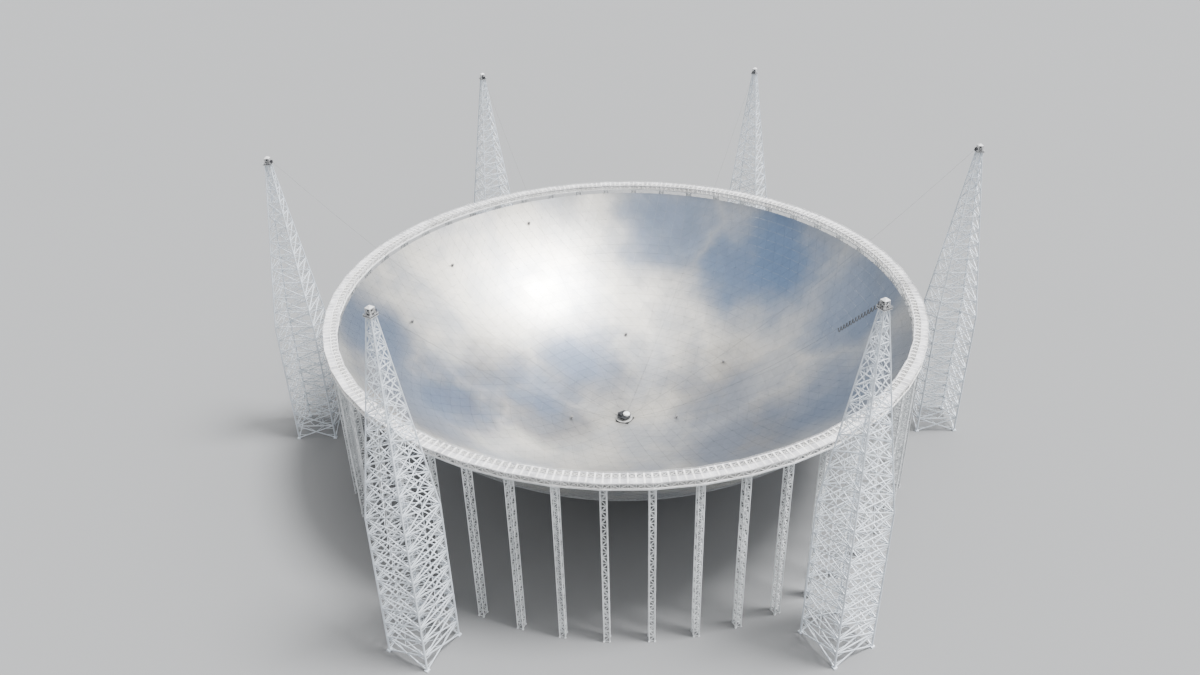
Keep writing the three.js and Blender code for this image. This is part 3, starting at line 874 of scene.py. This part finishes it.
def bearing_shape(first, last, settings):
    """The frame on the column heads, from mid bay to mid bay: edge beams, cross beams, ties and bearings."""
    half = BEARING_TOP - BEARING_BOTTOM
    inner, outer = RING_INNER + half / 2, RING_OUTER - half / 2
    level = (BEARING_TOP + BEARING_BOTTOM) / 2
    columns = np.arange(first, last) * BAY_ANGLE
    path = np.concatenate([[(first - 0.5) * BAY_ANGLE], columns, [(last - 0.5) * BAY_ANGLE]])
    shapes = []
    for radius in (inner, outer):
        beam = rectangle(radius - half / 2, radius + half / 2, BEARING_BOTTOM, BEARING_TOP)
        shapes.append(ring_band(beam, path))
    offset = settings.column_width / 2 / RING_INNER
    for side in (-offset, offset):
        shapes.append(straight(inner, level, outer, level, columns + side, real(0.3)))
        near = columns + side * 0.9
        for radius in (inner + real(0.9), outer - real(0.9)):
            shapes.append(straight(radius, BEARING_BOTTOM, radius, GIRDER_BOTTOM, near, real(0.5)))
        ties = columns + np.sign(side) * BAY_ANGLE / 2
        for start, end in ((inner, outer), (outer, inner)):
            shapes.append(bars(ring_points(start, columns + side, level), ring_points(end, ties, level),
                               real(0.2)))
    return join(*shapes)


# The towers

def tower_half(height, inset):
    """Half the tower's width at a height: it tapers down to the waist, and hardly widens from there on."""
    widths = [TOWER_FOOT_HALF, TOWER_WAIST_HALF, TOWER_TOP_HALF]
    return np.interp(height, [0, TOWER_WAIST, TOWER_TOP], widths) - inset


def tower_levels(settings):
    """The heights between lattice panels: equal below the waist, and each a little shorter above it."""
    below = np.linspace(real(0.8), TOWER_WAIST, settings.lower_panels + 1)
    share = np.cumsum(PANEL_SHRINK ** np.arange(settings.upper_panels))
    return np.concatenate([below, TOWER_WAIST + (TOWER_TOP - TOWER_WAIST) * share / share[-1]])


def face_points(side, height, inset):
    """Points on the tower's +X face: side runs from -1 to 1 across it at each height."""
    half = tower_half(height, inset)
    return points_of(half, side * half, height)


def tower_face(settings):
    """One face's bracing: a cross in each panel, rungs at its top and middle, and short struts to the legs.

    The braces are slimmer towards the top.
    """
    levels = tower_levels(settings)
    low, high = levels[:-1], levels[1:]
    inset = settings.foot_radius
    half_low, half_high = tower_half(low, inset), tower_half(high, inset)
    cross = low + (high - low) * half_low / (half_low + half_high)
    slimmer = np.interp(low, [0, TOWER_TOP], [1.0, BRACE_SHRINK])[:, None, None]
    main, light = settings.brace_radius * slimmer, settings.light_radius * slimmer

    def bar(side_a, height_a, side_b, height_b, radius):
        return bars(face_points(side_a, height_a, inset), face_points(side_b, height_b, inset), radius)

    shapes = [bar(-1, high, 1, high, main), bar(-0.5, high, 0, cross, light), bar(0.5, high, 0, cross, light)]
    for side in (-1, 1):
        shapes += [bar(side, low, 0, cross, main), bar(0, cross, side, high, main)]
        for level in ((low + cross) / 2, (cross + high) / 2):
            leg = np.where(level < cross, low, high)
            on_cross = side * np.abs(level - cross) / np.abs(leg - cross)
            on_cross = on_cross * tower_half(leg, inset) / tower_half(level, inset)
            shapes.append(bar(on_cross, level, side, level, light))
    return join(*shapes)


def tower_shape(settings):
    """One tower on its own axis: legs on pads, four braced faces, level ties, and a stair shaft inside."""
    inset = settings.foot_radius
    heights = np.array([LEG_START, TOWER_WAIST, TOWER_TOP])
    half = tower_half(heights, inset)
    knees = points_of(half, half, heights)
    radii = np.interp(heights, [0, TOWER_TOP], [inset, settings.top_radius])
    legs = [bars(knees[index], knees[index + 1], radii[index], 8, radii[index + 1]) for index in (0, 1)]
    pad = blocks_at([half[0], half[0], real(0.6)], reals(3, 3, 1.2))
    levels = tower_levels(settings)[1:]
    inner = tower_half(levels, inset)
    ties = bars(points_of(inner, 0, levels), points_of(0, inner, levels), settings.light_radius)
    quarter = join(tower_face(settings), *legs, pad)
    return join(turned(quarter, QUARTERS), turned(ties, QUARTERS), stair_shape())


def stair_shape():
    """The shaft in a tower's middle: four posts, and a flight to and fro between them at each step up."""
    half = real(1.3)
    steps = np.linspace(real(0.3), TOWER_TOP - real(6), STAIR_FLIGHTS + 1)
    low, high = steps[:-1], steps[1:]
    posts = turned(bars([half, half, LEG_START], [half, half, steps[-1]], real(0.14)), QUARTERS)
    odd = np.arange(len(low)) % 2 * 2 - 1
    flights = bars(points_of(odd * half, -half, low), points_of(-odd * half, -half, high), real(0.13))
    rungs = bars(points_of(-half, half, low), points_of(half, half, low), real(0.1))
    return join(posts, flights, rungs)


def head_shape():
    """The tower head: a railed platform on beams, and a pulley house of braced posts under a small roof.

    One side of the guard and of the house is made, and turned by quarters about the tower's axis.
    """
    eaves = PLATFORM_TOP + real(4.6)
    wall, half = real(1.9), PLATFORM_HALF
    edge = half - real(0.1)
    flipped = np.array([-1, 1, 1])
    beam_end = [half, half - real(0.3), TOWER_TOP + real(0.35)]
    beam = bars(beam_end * flipped, beam_end, real(0.35))
    posts = points_of(np.linspace(-half, half, 6), edge, PLATFORM_TOP)
    rails = points_of(-half, edge, PLATFORM_TOP + reals(0.6, 1.2))
    guard = join(bars(posts, posts + reals(0, 0, 1.2), real(0.05)), bars(rails, rails * flipped, real(0.06)))
    corner = np.array([[-wall, wall, PLATFORM_TOP], [wall, wall, PLATFORM_TOP]])
    rise = [0, 0, eaves - PLATFORM_TOP]
    brace = bars(corner, corner * flipped + rise, real(0.14))
    post = bars(corner[:1], corner[:1] + rise, real(0.26))
    middle = (PLATFORM_TOP + eaves) / 2
    sill = bars([-wall, wall, middle], [wall, wall, middle], real(0.14))
    rim = real(2.1) * math.sqrt(2)
    roof = revolved([(rim, eaves), (rim, eaves + real(0.35)), (real(0.9), HEAD_TOP)], 4)
    return join(roof, turned(join(beam, guard, brace, post, sill), QUARTERS))


def machine_shape():
    """The platform's deck, and the winding gear that stands on it inside the pulley house."""
    plate = blocks_at([0, 0, PLATFORM_TOP - real(0.15)], [2 * PLATFORM_HALF, 2 * PLATFORM_HALF, real(0.3)])
    gear = blocks_at(points_of(real(0.4), 0, PLATFORM_TOP + reals(1.1, 2.9)),
                     [reals(2.6, 2.9, 2.2), reals(1.6, 2.0, 1.4)])
    return join(plate, gear)


def pulley_shape():
    """The pulleys on the bowl's side of a tower head: grooved wheels on an axle between cheek plates."""
    axle = np.array([-real(2.7), 0, TOWER_TOP + real(2.6)])
    rim, groove, flange, edge = reals(1.15, 0.95, 0.25, 0.18)
    points, faces = revolved([(rim, -flange), (rim, -edge), (groove, 0.0), (rim, edge), (rim, flange)], 20)
    wheels = [moved((points[:, [1, 2, 0]], faces), axle + reals(0, side, 0)) for side in (-1.0, 1.0)]
    cheeks = blocks_at(axle + points_of(0, reals(-1.6, 0, 1.6), -real(0.2)), reals(1.8, 0.14, 2.2))
    shaft = bars(axle - reals(0, 1.8, 0), axle + reals(0, 1.8, 0), real(0.2), sides=10)
    return join(*wheels, cheeks, shaft)


# The cables and the cabin

def cable_path(settings, steps=32):
    """A support cable's curve from the pulley house to the cabin's frame: (1-t)^2 A + 2t(1-t) B + t^2 C."""
    top = np.array([TOWER_CIRCLE - real(2.2), 0, TOWER_TOP + real(4.0)])
    end = np.array([CABIN_FRAME_APOTHEM, 0, (CABIN_FRAME_LOW + CABIN_FRAME_HIGH) / 2])
    bend = (top + end) / 2 - [0, 0, 2 * settings.sag]
    t = np.linspace(0, 1, steps + 1)[:, None]
    return (1 - t) ** 2 * top + 2 * t * (1 - t) * bend + t ** 2 * end


def carried_shape(settings):
    """The signal line that hangs in loops from trolleys on the first stretch of one cable.

    Each loop is a parabola: a share of its depth, 4 s (1 - s), below the straight line between two trolleys.
    """
    trolleys = cable_path(settings, CABLE_MARKS)[TROLLEY_MARKS]
    share = np.linspace(0, 1, 9)[:, None]
    shapes = [blocks_at(trolleys - reals(0, 0, 0.35), reals(0.7, 0.5, 0.8))]
    for near, far in zip(trolleys[:-1], trolleys[1:]):
        drop = reals(0, 0, 2.6) * (4 * share * (1 - share)) + reals(0, 0, 0.6)
        shapes.append(chain(near + (far - near) * share - drop, real(0.3)))
    return join(*shapes)


def upright_ribs(radius, count, low, high, rib):
    """Upright bars round a drum, from one height to another."""
    angle = even_angles(count)
    return bars(around(radius, angle, low), around(radius, angle, high), rib)


def cabin_body_shape():
    """The cabin's round body under its frame: stepped out up its side, with upright ribs."""
    low, high = DOCK_TOP + real(0.05), CABIN_FRAME_LOW
    wide = CABIN_BODY_RADIUS - real(0.15)
    rib_low, rib_high = low + real(0.9), high - real(0.25)
    profile = [(wide * 0.75, low), (wide * 0.8, low + real(0.15)), (wide * 0.85, low + real(0.6)),
               (wide, rib_low), (wide, rib_high), (wide * 0.94, high - real(0.05))]
    return join(revolved(profile, 24), upright_ribs(wide, 24, rib_low, rib_high, real(0.1)))


def cabin_frame_shape():
    """The cabin's six-sided frame: a deck between two rings of tube, with posts, diagonals and cable lugs."""
    corner = CABIN_FRAME_APOTHEM / math.cos(math.pi / 6) - real(0.25)
    low, high = CABIN_FRAME_LOW + real(0.2), CABIN_FRAME_HIGH - real(0.2)
    lower = around(corner, even_angles(6, shift=0.5, extra=1), low)
    upper = lower + [0, 0, high - low]
    tops = (upper[:-1] + upper[1:]) / 2
    lugs = blocks_at(tops - [0, 0, (high - low) / 2], reals(0.8, 0.8, 1.0))
    deck = revolved([(corner, high - real(0.1)), (corner, high + real(0.1))], 6)
    return join(chain(lower, real(0.2), sides=8), chain(upper, real(0.2), sides=8),
                bars(lower[:-1], upper[:-1], real(0.15)), bars(lower[:-1], tops, real(0.12)),
                bars(lower[1:], tops, real(0.12)), deck, lugs,
                bars(lower[:-1] * [0.7, 0.7, 1], lower[:-1], real(0.16)))


def cabin_roof_shape():
    """The white housing on one side of the cabin: a ribbed drum with a domed top, a vent and a hatch box."""
    low, wide, tall = CABIN_FRAME_HIGH, ROOF_RADIUS, ROOF_HEIGHT
    foot = low + real(0.02)
    bend = np.linspace(0, DOME_BEND, 7)
    dome = np.stack([wide * np.cos(bend), low + tall * (0.45 + 0.45 * np.sin(bend))], axis=-1)
    drum = revolved([(wide, foot), *dome], 28)
    ribs = upright_ribs(wide, 14, foot, foot + tall * 0.45, real(0.08))
    vent = revolved([(real(0.45), low + tall * 0.85), (real(0.45), low + tall)], 12)
    hatch = blocks_at([-wide * 0.45, -wide * 0.55, low + tall * 0.7], [real(1.0), real(0.8), tall * 0.4])
    return moved(join(drum, ribs, vent, hatch), [ROOF_PLACE, 0, 0])


def cabin_hoist_shape():
    """The dark housing on the other side: a stepped drum with a cap, a row of fins and two small boxes."""
    low, wide, tall = CABIN_FRAME_HIGH, HOIST_RADIUS - real(0.1), HOIST_HEIGHT
    drum = revolved([(wide, low + real(0.02)), (wide, low + tall * 0.65), (wide * 0.8, low + tall * 0.75),
                     (wide * 0.75, low + tall * 0.95), (wide * 0.4, low + tall)], 24)
    foot = low + real(0.05)
    fins = upright_ribs(wide, 20, foot, foot + tall * 0.55, real(0.08))
    aside = wide + real(0.7)
    boxes = blocks_at(points_of(real(0.4), [aside, -aside], low + real(0.5)), reals(1.4, 1.0, 0.96))
    return moved(join(drum, fins, boxes), [HOIST_PLACE, 0, 0])


def dock_shape():
    """The dock: a round deck with a kerb on six braced legs, with beams under it."""
    wide = DOCK_RADIUS - real(0.05)
    deck = DOCK_TOP - real(0.3)
    leg_circle, leg_start = real(6), 0.005
    plate = revolved([(wide, deck), (wide, DOCK_TOP - real(0.05))], 48)
    angle = even_angles(6, shift=0.5, extra=1)
    feet = around(leg_circle, angle, leg_start)
    heads = around(leg_circle, angle, deck - real(0.2))
    ring = (feet + heads) / 2
    pads = blocks_at(feet[:-1] + reals(0, 0, 0.25), reals(1.6, 1.6, 0.5))
    outward = [wide / leg_circle, wide / leg_circle, 1]
    kerb = around(wide - real(0.1), even_angles(48, extra=1), DOCK_TOP - real(0.03))
    legs = bars(feet[:-1], heads[:-1] + reals(0, 0, 0.2), real(0.4), sides=8)
    beams = bars(heads[:-1] * [0.1, 0.1, 1], heads[:-1] * outward, real(0.22))
    return join(plate, legs, chain(ring, real(0.2)), pads, bars(feet[:-1], ring[1:], real(0.16)),
                bars(ring[:-1], heads[1:], real(0.16)), beams, chain(heads, real(0.22)),
                chain(kerb, real(0.08)))


# The operators

class TELESCOPE_OT_bowl(bpy.types.Operator):
    """Builds the bowl's triangular panels, in the rings and fifths of the frame."""
    bl_idname = "telescope.bowl"
    bl_label = "Bowl Panels"

    def execute(self, context):
        settings = context.scene.telescope_bowl
        # The panels' finish holds painted sky reflection, painted shade and painted bright reflection
        metal = painted_light_panel_finish(settings)
        rings, fifths = settings.rings, range(BOWL_SECTORS)
        centre_end = round(rings * math.asin(CENTRE_REACH / BOWL_RADIUS) / RIM_ANGLE)
        inner_end = round(rings * math.asin(INNER_REACH / BOWL_RADIUS) / RIM_ANGLE)
        parts = [("centre", 1, centre_end, 0, fifths)]
        for word, first, last in (("inner", centre_end, inner_end), ("outer", inner_end, rings)):
            parts += [(numbered(word, index), first, last, index, [index]) for index in fifths]
        for ending, first, last, index, sectors in parts:
            shape = panel_shape(first, last, sectors, settings)
            piece = make_piece(f"bowl_panels_{ending}", shape, metal, [f"reflector_{ending}"])
            finish_panels(piece, first * SEED_STEP + index)
        return {"FINISHED"}


class TELESCOPE_OT_net(bpy.types.Operator):
    """Builds the cable net behind the panels, its hangers at the rim and the survey posts."""
    bl_idname = "telescope.net"
    bl_label = "Cable Net"

    def execute(self, context):
        settings = context.scene.telescope_bowl
        steel = weathered_finish("galvanised_net_steel", (0.42, 0.43, 0.44), (0.3, 0.31, 0.32), 0.5, 0.6)
        for sector in range(BOWL_SECTORS):
            make_numbered("cable_net", sector, net_shape(sector, settings), steel)
        make_piece("rim_hangers", hanger_shape(settings), steel)
        concrete = weathered_finish("survey_post_concrete", (0.2, 0.2, 0.2), (0.13, 0.13, 0.13), 0.8, 0.0)
        make_piece("survey_posts", post_shape(), concrete)
        return {"FINISHED"}


class TELESCOPE_OT_ring(bpy.types.Operator):
    """Builds the ring girder's lattice, its walkway and its railings."""
    bl_idname = "telescope.ring"
    bl_label = "Ring Girder"

    def execute(self, context):
        settings = context.scene.telescope_ring
        white = weathered_finish("white_ring_paint", settings.paint, (0.7, 0.69, 0.67), 0.5, 0.0)
        bays = BAYS // GIRDER_PIECES
        for index in range(GIRDER_PIECES):
            shape = girder_shape(index * bays, (index + 1) * bays, settings)
            make_numbered("girder_lattice", index, shape, white, "ring_girder")
        deck = weathered_finish("walkway_plate", (0.68, 0.68, 0.7), (0.3, 0.3, 0.32), 0.6, 0.0, grain=7.0)
        make_piece("ring_walkway", walkway_shape(settings), deck)
        make_piece("ring_railings", railing_shape(settings), white)
        return {"FINISHED"}


class TELESCOPE_OT_columns(bpy.types.Operator):
    """Builds the fifty lattice columns and the bearing frame on their heads."""
    bl_idname = "telescope.columns"
    bl_label = "Ring Columns"

    def execute(self, context):
        settings = context.scene.telescope_ring
        grey = weathered_finish("grey_column_paint", settings.column_paint, (0.55, 0.57, 0.58), 0.55, 0.1)
        column = column_shape(settings)
        bays = BAYS // COLUMN_PIECES
        for index in range(COLUMN_PIECES):
            first, last = index * bays, (index + 1) * bays
            columns = turned(column, np.arange(first, last) * BAY_ANGLE)
            shape = join(columns, bearing_shape(first, last, settings))
            make_numbered("column_lattice", index, shape, grey, "ring_columns")
        return {"FINISHED"}


class TELESCOPE_OT_towers(bpy.types.Operator):
    """Builds the six towers, their pulley houses, and the decks with their winding gear and pulleys."""
    bl_idname = "telescope.towers"
    bl_label = "Towers"

    def execute(self, context):
        settings = context.scene.telescope_towers
        paint = weathered_finish("pale_tower_paint", settings.paint, (0.56, 0.6, 0.64), 0.5, 0.1)
        white = weathered_finish("white_head_paint", settings.head_paint, (0.5, 0.5, 0.5), 0.5, 0.0)
        dark = weathered_finish("oiled_pulley_steel", (0.11, 0.115, 0.125), (0.06, 0.06, 0.065), 0.45, 0.5)
        place = [TOWER_CIRCLE, 0, 0]
        tower, head = moved(tower_shape(settings), place), moved(head_shape(), place)
        # The platform's deck plate and gear take the dark pulley steel, so a dark band shows under the white
        # pulley house
        pulleys = moved(join(pulley_shape(), machine_shape()), place)
        for index in range(TOWERS):
            angle = TAU * index / TOWERS
            make_numbered("tower_lattice", index, turned(tower, angle), paint, "tower")
            make_numbered("pulley_house", index, turned(head, angle), white, "tower_head")
            make_numbered("tower_pulleys", index, turned(pulleys, angle), dark)
        return {"FINISHED"}


class TELESCOPE_OT_cables(bpy.types.Operator):
    """Builds the six support cables and the signal line that one of them carries."""
    bl_idname = "telescope.cables"
    bl_label = "Support Cables"

    def execute(self, context):
        settings = context.scene.telescope_cabin
        rope = weathered_finish("greased_rope_steel", settings.rope_colour, (0.08, 0.08, 0.08), 0.45, 0.6)
        cable = swept_tube(cable_path(settings), settings.cable_radius, 8)
        for index in range(TOWERS):
            shape = turned(cable, TAU * index / TOWERS)
            make_numbered("hauling_cable", index, shape, rope, "support_cable")
        make_piece("signal_line_loops", turned(carried_shape(settings), -TAU / TOWERS), rope)
        return {"FINISHED"}


class TELESCOPE_OT_cabin(bpy.types.Operator):
    """Builds the receiver cabin and the dock that it stands on."""
    bl_idname = "telescope.cabin"
    bl_label = "Receiver Cabin"

    def execute(self, context):
        settings = context.scene.telescope_cabin
        # Near-black body, frame and hoist: the cabin's dark paint, and painted shade of its shadow side
        dark = weathered_finish("dark_cabin_paint_and_painted_shade", settings.cabin_colour_with_painted_shade, (0.013, 0.013, 0.015), 0.45, 0.2)
        white = weathered_finish("white_cabin_paint", settings.roof_colour, (0.7, 0.7, 0.68), 0.45, 0.0)
        grey = weathered_finish("dock_coating", settings.dock_colour, (0.35, 0.35, 0.34), 0.7, 0.0)
        make_piece("cabin_body_shell", cabin_body_shape(), dark, ["cabin_body"])
        make_piece("cabin_frame_truss", cabin_frame_shape(), dark, ["cabin_frame"])
        make_piece("cabin_roof_cover", cabin_roof_shape(), white, ["cabin_roof"])
        make_piece("cabin_hoist_housing", cabin_hoist_shape(), dark, ["cabin_hoist"])
        make_piece("dock_deck_and_legs", dock_shape(), grey, ["cabin_dock"])
        return {"FINISHED"}


# The studio: the camera is a fit to the photo, with its focal length in pixels of a picture 1200 wide

FOCAL_PIXELS = 885.3
FRAME_WIDTH = 1200
SENSOR_WIDTH = 36.0
CAMERA_PLACE = (real(-5.23), real(-701.23), RING_TOP + real(381.48))
CAMERA_PITCH = math.radians(27.68)
CAMERA_YAW = math.radians(-1.212)
CAMERA_ROLL = math.radians(-1.442)
CAMERA_SHIFT = -61.1 / FRAME_WIDTH
CAMERA_NEAR = 0.1
CAMERA_FAR = 2000.0
FLOOR_REACH = 900.0
FLOOR_SIDES = 96
KEY_FROM = (0.42, -0.04, 0.905)
KEY_SPREAD = math.radians(17)
SOFT_FROM = (0.5, 0.1, 0.85)
SOFT_SPREAD = math.radians(70)


def camera_matrix():
    """The camera's place and turn: it looks down by its pitch, aside by its yaw, and rolls about its view."""
    pitch, yaw, roll = CAMERA_PITCH, CAMERA_YAW, CAMERA_ROLL
    forward = Vector((math.sin(yaw) * math.cos(pitch), math.cos(yaw) * math.cos(pitch), -math.sin(pitch)))
    right = Vector((math.cos(yaw), -math.sin(yaw), 0))
    up = right.cross(forward)
    tilted_right = math.cos(roll) * right + math.sin(roll) * up
    tilted_up = -math.sin(roll) * right + math.cos(roll) * up
    turn = Matrix((tilted_right, tilted_up, -forward)).transposed()
    return Matrix.Translation(CAMERA_PLACE) @ turn.to_4x4()


def floor_finish(colour):
    """A plain pale floor with the faintest unevenness."""
    material, tree, shader, place = new_finish("pale_floor")
    tone = mixed(tree, noise(tree, place, 0.05), opaque(colour), opaque(colour, 0.97))
    tree.links.new(tone, shader.inputs["Base Color"])
    shader.inputs["Roughness"].default_value = 0.9
    return material


def even_light(settings):
    """The even light all round: neutral and bright above, cooler and dimmer towards the floor's level."""
    world = bpy.data.worlds.new("even_light")
    world.use_nodes = True
    tree = world.node_tree
    way = add_node(tree, "TexCoord").outputs["Generated"]
    height = add_node(tree, "SeparateXYZ", {"Vector": way}).outputs["Z"]
    share = ranged(tree, height, 0.0, settings.dim_height, 0.0, 1.0)
    tone = mixed(tree, share, opaque(settings.low_colour), opaque(settings.high_colour))
    background = tree.nodes["Background"]
    tree.links.new(tone, background.inputs["Color"])
    background.inputs["Strength"].default_value = settings.sky_strength
    return world


class TELESCOPE_OT_studio(bpy.types.Operator):
    """Builds the floor, the soft lights and the camera."""
    bl_idname = "telescope.studio"
    bl_label = "Studio"

    def execute(self, context):
        settings = context.scene.telescope_studio
        scene = context.scene
        disc = around(FLOOR_REACH, even_angles(FLOOR_SIDES), 0.0), [np.arange(FLOOR_SIDES)[None]]
        floor = add_object("studio_floor", make_mesh("studio_floor", disc))
        floor.data.materials.append(floor_finish(settings.floor_colour))
        lights = (("key_light", settings.key_strength, KEY_FROM, KEY_SPREAD),
                  ("soft_light", settings.soft_strength, SOFT_FROM, SOFT_SPREAD))
        for name, strength, way, spread in lights:
            light = add_object(name, bpy.data.lights.new(name, "SUN"))
            light.data.energy = strength
            light.data.angle = spread
            light.rotation_euler = Vector(way).to_track_quat("Z", "Y").to_euler()
        scene.world = even_light(settings)
        camera = add_object("photo_camera", bpy.data.cameras.new("photo_camera"))
        camera.data.sensor_width = SENSOR_WIDTH
        camera.data.lens = FOCAL_PIXELS / FRAME_WIDTH * SENSOR_WIDTH
        camera.data.shift_y = CAMERA_SHIFT
        camera.data.clip_start = CAMERA_NEAR
        camera.data.clip_end = CAMERA_FAR
        camera.matrix_world = camera_matrix()
        scene.camera = camera
        return {"FINISHED"}


class TELESCOPE_PT_panel(bpy.types.Panel):
    """Lists the telescope's parts in the sidebar."""
    bl_label = "Telescope"
    bl_idname = "TELESCOPE_PT_panel"
    bl_space_type = "VIEW_3D"
    bl_region_type = "UI"
    bl_category = "Telescope"

    def draw(self, context):
        for operator in OPERATORS:
            self.layout.operator(operator.bl_idname)


OPERATORS = (TELESCOPE_OT_bowl, TELESCOPE_OT_net, TELESCOPE_OT_ring, TELESCOPE_OT_columns,
             TELESCOPE_OT_towers, TELESCOPE_OT_cables, TELESCOPE_OT_cabin, TELESCOPE_OT_studio)
GROUPS = {"telescope_bowl": BowlSettings, "telescope_ring": RingSettings, "telescope_towers": TowerSettings,
          "telescope_cabin": CabinSettings, "telescope_studio": StudioSettings}


def register():
    """Registers the settings, the operators and the panel."""
    for name, group in GROUPS.items():
        bpy.utils.register_class(group)
        setattr(bpy.types.Scene, name, PointerProperty(type=group))
    for item in (*OPERATORS, TELESCOPE_PT_panel):
        bpy.utils.register_class(item)


def unregister():
    """Takes the settings, the operators and the panel away again."""
    for item in (TELESCOPE_PT_panel, *reversed(OPERATORS)):
        bpy.utils.unregister_class(item)
    for name, group in GROUPS.items():
        delattr(bpy.types.Scene, name)
        bpy.utils.unregister_class(group)


def main():
    """Builds everything in order."""
    register()
    bpy.ops.telescope.bowl()
    bpy.ops.telescope.net()
    bpy.ops.telescope.ring()
    bpy.ops.telescope.columns()
    bpy.ops.telescope.towers()
    bpy.ops.telescope.cables()
    bpy.ops.telescope.cabin()
    bpy.ops.telescope.studio()
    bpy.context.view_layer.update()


if __name__ == "__main__":
    main()
